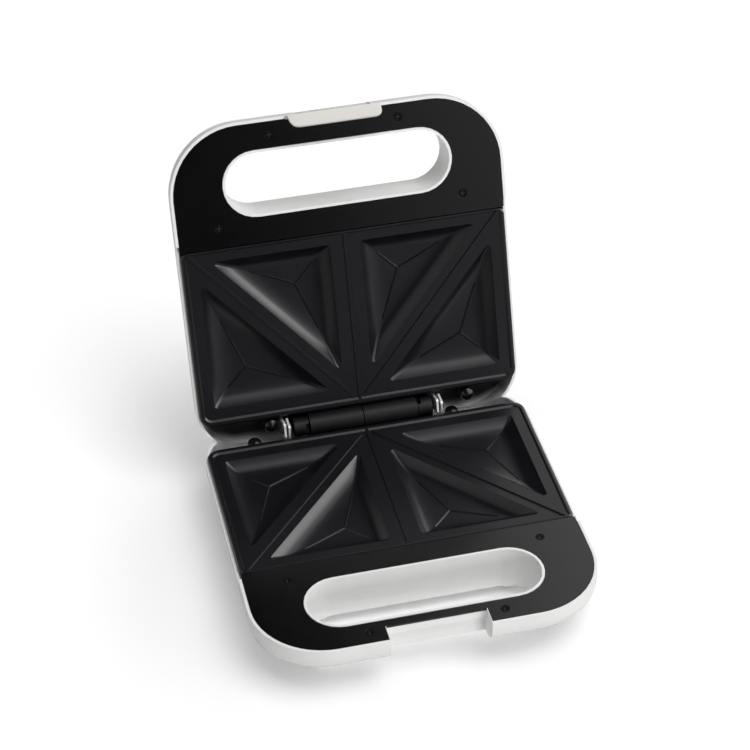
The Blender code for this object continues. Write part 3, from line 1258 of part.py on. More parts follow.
def make_latch(material, pivot):
    """The latch, modelled about its pin, which runs along x."""
    straight = 1 - LATCH_CORNER / LATCH_TIP_HALF_WIDTH
    stations = [(straight + (1 - straight) * share, share) for share in LATCH_CORNER_SHARES]
    rings = [latch_ring(-across, share) for across, share in reversed(stations)]
    rings += [latch_ring(across, share) for across, share in stations]
    plate = loft(rings)
    hook = box((-HOOK_HALF_WIDTH, HOOK_HALF_WIDTH), (HOOK_ROOT, HOOK_REACH),
               (HOOK_NEAR, HOOK_NEAR + HOOK_THICK))
    hook.transform(Matrix.Rotation(LATCH_SWING, 4, "X"))
    barrel = rod(LATCH_BARREL, -LATCH_ROOT_HALF_WIDTH, LATCH_ROOT_HALF_WIDTH, sides=LARGE_SIDES,
                 axis="X")
    bore = rod(LATCH_PIN + CLEAR, -LATCH_ROOT_HALF_WIDTH - OVERRUN,
               LATCH_ROOT_HALF_WIDTH + OVERRUN, axis="X")
    body = cut(unite(plate, latch_root(), barrel, hook), bore)
    piece = add_piece("latch", body, material, pivot)
    piece.location = (0.0, 0.0, 0.0)
    return piece


def make_latch_pin(material, half):
    reach = NOTCH_UPPER_HALF_WIDTH - CLEAR - NOTCH_LIP + NOTCH_WALL / 2 - CLEAR
    return add_piece("latch_pin", rod(LATCH_PIN, -reach, reach, axis="X",
                                      centre=(0.0, LATCH_AXIS_Y, LATCH_AXIS_Z)), material, half)


# Assembly

def make_half(prefix, kit, half, is_lid):
    make_housing(prefix + "_housing", kit["shell"], half, is_lid)
    make_bezel(prefix + "_bezel", kit["bezel"], half, is_lid)
    make_plate(prefix + "_cooking_plate", kit["plate"], half)
    make_heater(prefix + "_heating_element", kit["heater"], half)
    make_pan(prefix + "_heat_reflector", kit["pan"], half)
    make_thermostat(prefix + "_thermostat", kit["ceramic"], half)
    make_hinge_cover(prefix + "_hinge_cover", kit["hinge"], half)
    make_sleeve(prefix + "_wiring_sleeve", kit["sleeve"], half)
    make_bracket(prefix + "_inner_bracket", kit["steel"], half, True)
    make_bracket(prefix + "_outer_bracket", kit["steel"], half, False)
    for count, place in enumerate(BEZEL_SCREWS, 1):
        make_bezel_screw(f"{prefix}_bezel_screw_{count}", kit["black_steel"], half, place)
    for count, x in enumerate(DECK_SCREWS, 1):
        make_deck_screw(f"{prefix}_deck_screw_{count}", kit["black_steel"], half, x)


def make_base_only(kit, half):
    for count, place in enumerate(foot_places(), 1):
        make_foot(f"rubber_foot_{count}", kit["rubber"], half, place)
    make_gland(kit["gland"], half)
    make_clamp(kit["ceramic"], half)
    make_terminal_block(kit["ceramic"], half)
    make_fuse(kit["ceramic"], half)
    make_leads(kit["lead"], half)
    for side, word in ((-1, "left"), (1, "right")):
        make_rivet("hinge_rivet_" + word, kit["steel"], half, side)
        make_washer("hinge_washer_" + word, kit["steel"], half, side)


def make_lid_only(kit, half, pivot):
    make_light(-1, "power_light_lens", "power_lamp", kit["red"], kit["glass"], half)
    make_light(1, "ready_light_lens", "ready_lamp", kit["green"], kit["glass"], half)
    make_lamp_holder(kit["hinge"], half)
    make_latch_pin(kit["steel"], half)
    make_latch(kit["latch"], pivot)


def add_empty(name, parent=None):
    empty = bpy.data.objects.new(name, None)
    bpy.context.scene.collection.objects.link(empty)
    empty.parent = parent
    return empty


def main():
    empty_scene()
    kit = make_finishes()
    base = add_empty("base_frame")
    base.location = (0.0, HINGE_Y - STAND_CENTRE_Y, HINGE_Z + TABLE_DEPTH)
    lid = add_empty("lid_axis")
    lid.location = base.location
    lid.rotation_euler = Euler((OPEN_ANGLE, math.pi, 0.0))
    pivot = add_empty("latch_axis", lid)
    pivot.location = (0.0, LATCH_AXIS_Y - HINGE_Y, LATCH_AXIS_Z - HINGE_Z)
    bpy.context.view_layer.update()
    make_half("lower", kit, base, is_lid=False)
    make_half("upper", kit, lid, is_lid=True)
    make_base_only(kit, base)
    make_lid_only(kit, lid, pivot)


main()
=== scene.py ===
"""Looks of the sandwich maker: finishes, rounded edges, fine pieces and the studio.

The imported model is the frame. Each shown piece rides on the body that carries
its solid, and keeps that solid's place and size. Lengths are in metres.
"""

import json
import math

import bmesh
import bpy
from bpy.props import FloatProperty, FloatVectorProperty, IntProperty, PointerProperty
from mathutils import Matrix, Vector


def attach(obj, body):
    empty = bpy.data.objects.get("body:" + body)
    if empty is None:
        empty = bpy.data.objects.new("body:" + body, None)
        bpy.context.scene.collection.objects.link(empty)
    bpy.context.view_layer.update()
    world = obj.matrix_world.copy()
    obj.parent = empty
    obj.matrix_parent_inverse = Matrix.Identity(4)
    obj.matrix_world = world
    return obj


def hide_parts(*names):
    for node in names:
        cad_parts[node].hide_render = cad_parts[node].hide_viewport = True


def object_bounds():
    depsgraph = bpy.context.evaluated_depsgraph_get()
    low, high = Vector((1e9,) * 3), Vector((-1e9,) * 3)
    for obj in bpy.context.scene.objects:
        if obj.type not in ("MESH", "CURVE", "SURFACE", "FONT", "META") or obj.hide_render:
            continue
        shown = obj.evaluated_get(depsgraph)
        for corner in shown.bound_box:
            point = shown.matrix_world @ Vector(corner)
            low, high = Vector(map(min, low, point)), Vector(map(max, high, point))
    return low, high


bl_info = {
    "name": "Sandwich Maker Looks",
    "version": (1, 0, 0),
    "blender": (4, 5, 0),
    "location": "View3D > Sidebar > Sandwich Maker",
    "description": "Finishes, rounded edges and studio for a jointed sandwich maker",
    "category": "Object",
}

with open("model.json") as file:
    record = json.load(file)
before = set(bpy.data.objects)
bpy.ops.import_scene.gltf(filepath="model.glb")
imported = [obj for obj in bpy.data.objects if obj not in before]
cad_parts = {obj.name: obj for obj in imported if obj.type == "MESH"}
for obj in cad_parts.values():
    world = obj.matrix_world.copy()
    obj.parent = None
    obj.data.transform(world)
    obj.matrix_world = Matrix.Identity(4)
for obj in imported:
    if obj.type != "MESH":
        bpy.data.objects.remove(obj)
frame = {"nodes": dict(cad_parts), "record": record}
CAD_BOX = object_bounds()

# The lid's hinge: a point on its axis, and the angle at which the lid stands open
HINGE_POINT = (0.0, 0.0657, 0.041)
OPEN_ANGLE = math.radians(108.85)

# How a copy of a solid is joined, and which of its edges are rounded
JOIN_DISTANCE = 0.00002
FLAT_ANGLE = math.radians(0.6)
CREASE_ANGLE = math.radians(30)
PLATE_CREASE_ANGLE = math.radians(24)

# A bezel screw's driver recess, which gets a painted highlight: the attribute that marks it,
# how far below the head's face it lies, and how squarely its faces look outwards
RECESS_HIGHLIGHT = "wear"
RECESS_DEPTHS = (0.0002, 0.0030)
RECESS_FACING = 0.5

# Edges of the painted shade on the decks beside the hinge, as distances from its axis
PAINTED_SHADE_COLOUR = (0.03, 0.03, 0.03)
SHADE_FRONT = (-0.020, -0.015)
SHADE_BACK = (0.005, 0.0155)
SHADE_CORNER = (0.085, 0.105)
SHADE_CORNER_SHIFT = 0.005
SHADE_SIDE = (0.104, 0.108)
SHADE_ROUNDED_SIDE = (0.1035, 0.1065)
SHADE_TOP = (0.004, 0.007)
SHADE_BOTTOM = (0.026, 0.029)

# Lamps: name, place, width and the setting that holds the power
LAMPS = (("key_lamp", (1.00, -1.00, 2.80), 2.2, "key_power"),
         ("top_lamp", (-0.30, 0.30, 3.00), 2.2, "top_power"),
         ("front_lamp", (0.90, -2.90, 0.42), 1.0, "front_power"),
         ("rear_lamp", (1.50, 2.40, 1.50), 1.6, "rear_power"))

# Bright panels that glossy faces mirror: the run of a direction over which each begins,
# and its strength
SCREEN_EDGE = (0.15, 0.27)
SCREEN_STRENGTH = 1.7
SCREEN_HEIGHT = (-0.2, 0.5)
SCREEN_LOW_SHARE = 0.45
RIGHT_EDGE = (0.35, 0.95)
RIGHT_STRENGTH = 1.0
LEFT_EDGE = (-0.25, -0.75)
LEFT_STRENGTH = 0.9

# Round lights that glossy faces mirror: direction, run of its cosine and strength
MIRRORED_LIGHTS = (((0.42, -0.30, 0.86), (0.88, 0.99), 2.4),
                   ((0.91, -0.14, 0.39), (0.92, 0.99), 6.0))

# Rings of the floor round the object: dark to glossy faces, and brighter to the camera
DARK_RING = (0.5, 1.3)
DARK_TONE = (0.03, 0.03, 0.03)
NEAR_RING = (0.13, 0.27)
NEAR_RISE = 0.16
FAR_RING = (0.5, 2.5)
FAR_GLOW = 0.9

SENSOR_WIDTH = 36.0
VIEW_DEPTH = 50.0


# Settings

def length_setting(name, description, default):
    return FloatProperty(name=name, description=description, default=default, min=0.0,
                         precision=5, subtype="DISTANCE", unit="LENGTH")


def colour_setting(name, description, default):
    return FloatVectorProperty(name=name, description=description, default=default, size=3,
                               min=0.0, max=1.0, subtype="COLOR")


def share_setting(name, description, default):
    return FloatProperty(name=name, description=description, default=default, min=0.0, max=1.0,
                         subtype="FACTOR")


class FinishColours(bpy.types.PropertyGroup):
    """Colours and gloss of the finishes."""
    shell: colour_setting("Housing", "White plastic of both housings", (0.84, 0.84, 0.83))
    shell_roughness: share_setting("Housing roughness", "Gloss of the white plastic", 0.30)
    bezel: colour_setting("Bezel", "Black plastic round the plates", (0.0012, 0.0012, 0.0015))
    bezel_roughness: share_setting("Bezel roughness", "Gloss of the black plastic", 0.20)
    plate: colour_setting("Plate", "Non-stick coating", (0.0040, 0.0040, 0.0055))
    plate_roughness: share_setting("Plate roughness", "Gloss of the coating", 0.32)
    latch: colour_setting("Latch", "Warm white plastic of the latch", (0.72, 0.70, 0.67))
    cover: colour_setting("Hinge cover", "Matt black plastic of the hinge",
                          (0.0030, 0.0030, 0.0036))
    steel: colour_setting("Steel", "Plated steel of the brackets", (0.80, 0.79, 0.77))
    # Washers and rivets are near black as painted shade in the gap between the brackets
    washer: colour_setting("Washers", "Dull steel of washers and rivets", (0.06, 0.06, 0.06))
    black_steel: colour_setting("Screws", "Blackened steel of the screws",
                                (0.0030, 0.0030, 0.0034))
    # The screw recess colour is a painted highlight on the cross, lighter than the head
    recess: colour_setting("Screw recess", "Worn steel in the driver recess",
                           (0.075, 0.075, 0.075))
    rubber: colour_setting("Feet", "Grey rubber of the feet", (0.22, 0.22, 0.22))
    gland: colour_setting("Cord gland", "Black rubber of the gland", (0.016, 0.016, 0.016))
    heater: colour_setting("Heater", "Sheath of the heating elements", (0.20, 0.18, 0.17))
    pan: colour_setting("Reflector", "Aluminised sheet of the reflectors", (0.62, 0.62, 0.62))
    ceramic: colour_setting("Ceramic", "Thermostats and terminal block", (0.74, 0.73, 0.68))
    sleeve: colour_setting("Sleeve", "Braided sleeve of the wiring", (0.66, 0.63, 0.55))
    lead: colour_setting("Lead", "Insulation of the leads", (0.56, 0.54, 0.48))
    power_lens: colour_setting("Power lens", "Red lens in the lid", (0.62, 0.02, 0.02))
    ready_lens: colour_setting("Ready lens", "Green lens in the lid", (0.03, 0.42, 0.08))
    glass: colour_setting("Lamp glass", "Glass of the two small lamps", (0.78, 0.62, 0.52))


class EdgeSizes(bpy.types.PropertyGroup):
    """Radii of the rounded edges."""
    housing: length_setting("Housing edges", "Rounding of the housing's rims", 0.00045)
    bezel: length_setting("Bezel edges", "Rounding of the bezels' edges", 0.00030)
    plate: length_setting("Plate edges", "Rounding of the plates' ridges", 0.00035)
    latch: length_setting("Latch edges", "Rounding of the latch", 0.00050)
    small: length_setting("Small edges", "Rounding of sheet metal and screws", 0.00020)
    steps: IntProperty(name="Steps", description="Facets in each rounded edge", default=3,
                       min=1, max=6)


class StageSettings(bpy.types.PropertyGroup):
    """Camera, lamps and floor."""
    camera_place: FloatVectorProperty(name="Camera place", description="Where the camera stands",
                                      default=(-0.26658, -1.15744, 1.06316), size=3,
                                      subtype="XYZ", unit="LENGTH")
    camera_azimuth: FloatProperty(name="Azimuth", description="Camera's turn round the object",
                                  default=math.radians(-12.72), subtype="ANGLE")
    camera_elevation: FloatProperty(name="Elevation", description="Camera's height as an angle",
                                    default=math.radians(38.22), subtype="ANGLE")
    camera_roll: FloatProperty(name="Roll", description="Camera's lean", subtype="ANGLE",
                               default=math.radians(-1.11))
    lens: FloatProperty(name="Lens", description="Focal length for a 36 mm frame",
                        default=111.587, unit="CAMERA")
    floor: colour_setting("Floor", "Pale table surface", (0.80, 0.80, 0.80))
    floor_lift: share_setting("Floor lift", "Glow the camera sees on the floor", 0.20)
    floor_span: length_setting("Floor span", "Width of the floor", 8.0)
    key_power: FloatProperty(name="Key lamp", description="Soft box on the right", default=60.0,
                             unit="POWER")
    top_power: FloatProperty(name="Top lamp", description="Soft box overhead", default=16.0,
                             unit="POWER")
    front_power: FloatProperty(name="Front lamp", description="Low soft box before the handles",
                               default=27.0, unit="POWER")
    rear_power: FloatProperty(name="Rear lamp", description="Soft box behind the lid",
                              default=16.0, unit="POWER")
    fill_level: share_setting("Fill", "Even light of the room", 0.20)


# Shader expressions

class Field:
    """One output of a finish's nodes, with arithmetic for single numbers."""

    def __init__(self, finish, socket):
        self.finish = finish
        self.socket = socket

    def maths(self, operation, *values):
        settings = {"operation": operation}
        return self.finish.node("ShaderNodeMath", settings, dict(enumerate(values)))

    def __add__(self, other):
        return self.maths("ADD", self, other)

    def __radd__(self, other):
        return self.maths("ADD", other, self)

    def __sub__(self, other):
        return self.maths("SUBTRACT", self, other)

    def __rsub__(self, other):
        return self.maths("SUBTRACT", other, self)

    def __mul__(self, other):
        return self.maths("MULTIPLY", self, other)

    def __rmul__(self, other):
        return self.maths("MULTIPLY", other, self)

    def spread(self, low, high, new_low=0.0, new_high=1.0):
        """The number's run from low to high, smoothly turned into another run."""
        return self.finish.node("ShaderNodeMapRange", {"interpolation_type": "SMOOTHSTEP"},
                                {"Value": self, "From Min": low, "From Max": high,
                                 "To Min": new_low, "To Max": new_high})

    def fade(self, low, high):
        """One up to low, none from high on."""
        return self.spread(low, high, 1.0, 0.0)

    def swing(self, middle, share):
        """Noise turned into a number that swings by a share about a middle."""
        return self.spread(0.3, 0.7, middle * (1.0 - share), middle * (1.0 + share))


class Finish:
    """A material or a room's light: one shader, with the nodes that vary it."""

    def __init__(self, owner, shader="Principled BSDF", **constants):
        owner.use_nodes = True
        self.owner = owner
        self.tree = owner.node_tree
        self.shader = self.tree.nodes[shader]
        for socket, value in constants.items():
            self.shader.inputs[socket.replace("_", " ")].default_value = value

    def node(self, kind, settings=None, values=None, output=0):
        """A node of that kind: its settings first, then its sockets' values or links."""
        made = self.tree.nodes.new(kind)
        for name, value in (settings or {}).items():
            setattr(made, name, value)
        for name, value in (values or {}).items():
            self.put(made.inputs[name], value)
        return Field(self, made.outputs[output])

    def put(self, socket, value):
        if isinstance(value, Field):
            self.tree.links.new(value.socket, socket)
        elif hasattr(value, "__len__") and len(value) == 3 and socket.type == "RGBA":
            socket.default_value = (*value, 1.0)
        else:
            socket.default_value = value

    def place(self, scale=(1.0, 1.0, 1.0), turn=(0.0, 0.0, 0.0)):
        """Object coordinates, stretched and turned."""
        coordinates = self.node("ShaderNodeTexCoord", output="Object")
        return self.node("ShaderNodeMapping", {"vector_type": "POINT"},
                         {"Vector": coordinates, "Scale": scale, "Rotation": turn})

    def noise(self, place, grain, detail=2.0, roughness=0.5):
        """Soft noise whose patches are about one grain across."""
        return self.node("ShaderNodeTexNoise", None,
                         {"Vector": place, "Scale": 1.0 / grain, "Detail": detail,
                          "Roughness": roughness})

    def cells(self, place, grain):
        """Distance from the middle of the nearest of many small cells."""
        return self.node("ShaderNodeTexVoronoi", None, {"Vector": place, "Scale": 1.0 / grain})

    def blend(self, factor, first, second):
        """One colour turning into another."""
        return self.node("ShaderNodeMix", {"data_type": "RGBA"},
                         {"Factor": factor, 6: first, 7: second}, output=2)

    def parts(self, vector, axes):
        """The named components of a vector, each from a node of its own."""
        return [self.node("ShaderNodeSeparateXYZ", None, {"Vector": vector}, output=axis)
                for axis in axes]

    def bump(self, height, depth):
        """A normal that follows small heights; depth is the height of a full step."""
        return self.node("ShaderNodeBump", None,
                         {"Height": height, "Distance": depth, "Strength": 1.0})

    def mottle(self, patches, colour, share):
        """A colour a share darker and lighter in soft patches."""
        return self.blend(patches.spread(0.3, 0.7), tinted(colour, -share),
                          tinted(colour, share))

    def drive(self, socket, value):
        self.put(self.shader.inputs[socket], value)


def tinted(colour, share):
    """A colour made lighter or darker by a share."""
    return tuple(min(channel * (1.0 + share), 1.0) for channel in colour)


# Finishes

def moulded_plastic(name, colour, roughness, grain=0.0006, relief=0.000006, mottle=0.03,
                    patch=0.05, **constants):
    """Injection-moulded plastic: faint flow mottling and a fine texture from the tool."""
    finish = Finish(bpy.data.materials.new(name), **constants)
    place = finish.place()
    flow = finish.noise(place, patch, detail=3.0)
    skin = finish.noise(place, grain, detail=2.0, roughness=0.6)
    finish.drive("Base Color", finish.mottle(flow, colour, mottle))
    finish.drive("Roughness", flow.swing(roughness, 0.08) + (skin - 0.5) * (roughness * 0.15))
    finish.drive("Normal", finish.bump(skin, relief))
    return finish.owner


def housing_plastic(name, colour, roughness, lean, grain=0.0009, relief=0.000004,
                    mottle=0.006, patch=0.05):
    """White plastic, painted shade on the deck by the hinge; lean is the half's turn about it."""
    finish = Finish(bpy.data.materials.new(name), Roughness=roughness,
                    Specular_IOR_Level=0.30)
    place = finish.place()
    flow = finish.noise(place, patch, detail=3.0)
    level = finish.node("ShaderNodeVectorRotate", {"rotation_type": "X_AXIS"},
                        {"Vector": place, "Center": HINGE_POINT, "Angle": lean})
    along, behind, over = finish.parts(level, "XYZ")
    beside = along.maths("ABSOLUTE", along)
    gap = over - HINGE_POINT[2]
    depth = gap.maths("ABSOLUTE", gap)
    back = behind - HINGE_POINT[1]
    rounded = back + beside.spread(*SHADE_CORNER, 0.0, SHADE_CORNER_SHIFT)
    # Painted shade: the deck is darkened near the hinge, where the plates and lid shadow it
    shade = (rounded.fade(*SHADE_BACK) * back.spread(*SHADE_FRONT)
             * beside.fade(*SHADE_SIDE) * (beside + back).fade(*SHADE_ROUNDED_SIDE)
             * depth.spread(*SHADE_TOP) * depth.fade(*SHADE_BOTTOM))
    finish.drive("Base Color", finish.blend(shade, finish.mottle(flow, colour, mottle),
                                            PAINTED_SHADE_COLOUR))
    finish.drive("Roughness", flow.swing(roughness, 0.08))
    finish.drive("Normal", finish.bump(finish.noise(place, grain), relief))
    return finish.owner


def nonstick_coating(name, colour, roughness, grain=0.00045, relief=0.000022, fleck=0.0006,
                     patch=0.030):
    """Sprayed coating: pebbled skin with fine mineral flecks and soft, uneven sheen."""
    finish = Finish(bpy.data.materials.new(name), Specular_IOR_Level=0.35)
    place = finish.place()
    pebble = finish.noise(place, grain, detail=3.0, roughness=0.65)
    drift = finish.noise(place, patch, detail=2.0)
    flecks = finish.cells(place, fleck).fade(0.10, 0.22) * pebble.spread(0.45, 0.70)
    finish.drive("Base Color", finish.blend(flecks * 0.35, colour, tinted(colour, 4.0)))
    finish.drive("Roughness", drift.swing(roughness, 0.06) + (pebble - 0.5) * 0.10)
    finish.drive("Normal", finish.bump(pebble, relief))
    return finish.owner


def brushed_steel(name, colour, roughness, grain_axis=2, tone=0.10, metallic=1.0,
                  grain=0.00035, stretch=0.04, patch=0.012, relief=0.000008):
    """Plated sheet steel with fine lines along one axis and slight stains."""
    finish = Finish(bpy.data.materials.new(name), Metallic=metallic)
    scale = [1.0, 1.0, 1.0]
    scale[grain_axis] = stretch
    lines = finish.noise(finish.place(scale=scale), grain, detail=3.0, roughness=0.7)
    stain = finish.noise(finish.place(), patch, detail=2.0)
    finish.drive("Base Color", finish.blend(stain.spread(0.35, 0.65), tinted(colour, -tone),
                                            tinted(colour, tone)))
    finish.drive("Roughness", roughness + (lines - 0.5) * (roughness * 0.6))
    finish.drive("Normal", finish.bump(lines, relief))
    return finish.owner


def recessed_screw(name, colour, recess, roughness=0.42, grain=0.0004, relief=0.000004):
    """Dull black screw whose driver recess is painted lighter grey, a painted highlight."""
    finish = Finish(bpy.data.materials.new(name), Specular_IOR_Level=0.08)
    highlight_faces = finish.node("ShaderNodeAttribute", {"attribute_name": RECESS_HIGHLIGHT}, output="Fac")
    skin = finish.noise(finish.place(), grain, detail=2.0)
    # Painted highlight: the driver recess is lighter grey than the head
    finish.drive("Base Color", finish.blend(highlight_faces * skin.spread(0.2, 0.6, 0.5, 1.0), colour,
                                            recess))
    finish.drive("Roughness", roughness + (skin - 0.5) * 0.2)
    finish.drive("Normal", finish.bump(skin, relief))
    return finish.owner


def woven_sleeve(name, colour, roughness=0.75, grain=0.0004, relief=0.00015,
                 threads_per_metre=260.0, lean=math.radians(35)):
    """Braided glass fibre: two crossing sets of fine threads."""
    finish = Finish(bpy.data.materials.new(name), Specular_IOR_Level=0.3)
    place = finish.place()
    threads = [finish.node("ShaderNodeTexWave", {"wave_type": "BANDS", "bands_direction": "X"},
                           {"Vector": finish.place(turn=(turn, turn, turn)),
                            "Scale": threads_per_metre, "Distortion": 0.6})
               for turn in (lean, -lean)]
    braid = threads[0] * threads[1]
    fuzz = finish.noise(place, grain, detail=3.0)
    finish.drive("Base Color", finish.blend(braid, tinted(colour, -0.35), colour))
    finish.drive("Roughness", roughness + fuzz * 0.2)
    finish.drive("Normal", finish.bump(braid + fuzz * 0.3, relief))
    return finish.owner


def lamp_lens(name, colour, roughness=0.10, grain=0.0005, relief=0.00001):
    """Clear tinted plastic with a faint moulded stipple."""
    finish = Finish(bpy.data.materials.new(name), Transmission_Weight=0.55, IOR=1.49)
    stipple = finish.noise(finish.place(), grain, detail=1.0)
    finish.drive("Base Color", finish.blend(stipple, tinted(colour, -0.15), tinted(colour, 0.15)))
    finish.drive("Roughness", roughness + stipple * 0.06)
    finish.drive("Normal", finish.bump(stipple, relief))
    return finish.owner


def make_finishes(colours):
    """The finishes by the record's slot names, and by their own where a slot has several."""
    return {
        "shell": housing_plastic("white_base_plastic", colours.shell, colours.shell_roughness,
                                 0.0),
        "lid": housing_plastic("white_lid_plastic", colours.shell, colours.shell_roughness,
                               OPEN_ANGLE),
        "bezel": moulded_plastic("black_bezel_plastic", colours.bezel, colours.bezel_roughness,
                                 grain=0.0005, relief=0.000003, mottle=0.10,
                                 Specular_IOR_Level=0.40),
        "plate": nonstick_coating("nonstick_coating", colours.plate, colours.plate_roughness),
        "hinge": moulded_plastic("matt_hinge_plastic", colours.cover, 0.42, grain=0.0004,
                                 relief=0.000020, mottle=0.10, Specular_IOR_Level=0.25),
        "latch": moulded_plastic("warm_latch_plastic", colours.latch, 0.36, grain=0.0008,
                                 relief=0.000004, mottle=0.008),
        "steel": brushed_steel("plated_steel", colours.steel, 0.42, metallic=0.40),
        # Washers and rivets: near-black steel, painted shade in the gap between the brackets
        "washer": brushed_steel("dull_steel", colours.washer, 0.5, metallic=0.6),
        "small_screw": recessed_screw("recessed_screw", colours.black_steel, colours.recess),
        "black_steel": moulded_plastic("blackened_steel", colours.black_steel, 0.24,
                                       grain=0.0004, relief=0.000004, mottle=0.15,
                                       Specular_IOR_Level=0.6),
        "heater": brushed_steel("heater_sheath", colours.heater, 0.42, tone=0.25),
        "pan": brushed_steel("aluminised_sheet", colours.pan, 0.34, grain_axis=0),
        "rubber": moulded_plastic("grey_rubber", colours.rubber, 0.78, grain=0.0007,
                                  relief=0.000050, mottle=0.08),
        "gland": moulded_plastic("black_rubber", colours.gland, 0.62, grain=0.0006,
                                 relief=0.000030, mottle=0.12),
        "ceramic": moulded_plastic("white_ceramic", colours.ceramic, 0.45, grain=0.0005,
                                   relief=0.000040, mottle=0.04),
        "sleeve": woven_sleeve("glass_fibre_sleeve", colours.sleeve),
        "red": lamp_lens("red_lens", colours.power_lens),
        "green": lamp_lens("green_lens", colours.ready_lens),
        "glass": lamp_lens("lamp_glass", colours.glass),
        "lead": moulded_plastic("lead_insulation", colours.lead, 0.55, mottle=0.05),
    }


# Shaping

def body_of(node):
    """Name of the body that carries a solid."""
    for body, nodes in frame["record"]["behaviour"]["bodies"].items():
        if node in nodes:
            return body
    raise RuntimeError(f"no body carries {node}")


def joined_copy(node):
    """A bmesh of one solid with its corners joined and its flat faces whole."""
    bm = bmesh.new()
    bm.from_mesh(frame["nodes"][node].data)
    bmesh.ops.remove_doubles(bm, verts=bm.verts[:], dist=JOIN_DISTANCE)
    bmesh.ops.dissolve_limit(bm, angle_limit=FLAT_ANGLE, verts=bm.verts[:], edges=bm.edges[:])
    return bm


def place_piece(name, bm, node, finish):
    """Makes the mesh a piece on the node's body, standing for that solid."""
    for face in bm.faces:
        face.smooth = True
    mesh = bpy.data.meshes.new(name)
    bm.to_mesh(mesh)
    bm.free()
    piece = bpy.data.objects.new(name, mesh)
    bpy.context.scene.collection.objects.link(piece)
    piece.data.materials.append(finish)
    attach(piece, body_of(node))
    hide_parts(node)
    return piece


def round_edges(piece, width, steps, crease=CREASE_ANGLE):
    """Rounds the piece's sharp edges and keeps its flat faces flat."""
    bevel = piece.modifiers.new("rounded_edges", "BEVEL")
    bevel.width = width
    bevel.segments = steps
    bevel.limit_method = "ANGLE"
    bevel.angle_limit = crease
    bevel.profile = 0.5
    bevel.use_clamp_overlap = True
    bevel.harden_normals = False
    normals = piece.modifiers.new("flat_faces", "WEIGHTED_NORMAL")
    normals.keep_sharp = True


def rounded_copy(node, name, slot, finishes, width, steps, crease=CREASE_ANGLE):
    """A piece that shows one solid with its edges rounded."""
    piece = place_piece(name, joined_copy(node), node, finishes[slot])
    round_edges(piece, width, steps, crease)
    return piece


def finish_node(node, slot, finishes, finish=None):
    """A solid whose shape is right stays, with a better finish."""
    solid = frame["nodes"][node]
    for place in solid.material_slots:
        place.material = finishes[finish or slot]


def kit():
    """The finishes, made once and found again by name."""
    scene = bpy.context.scene
    if "sandwich_finishes" not in scene:
        made = make_finishes(scene.sandwich_finish)
        scene["sandwich_finishes"] = {slot: material.name for slot, material in made.items()}
    names = scene["sandwich_finishes"].to_dict()
    return {slot: bpy.data.materials[name] for slot, name in names.items()}


# Operators

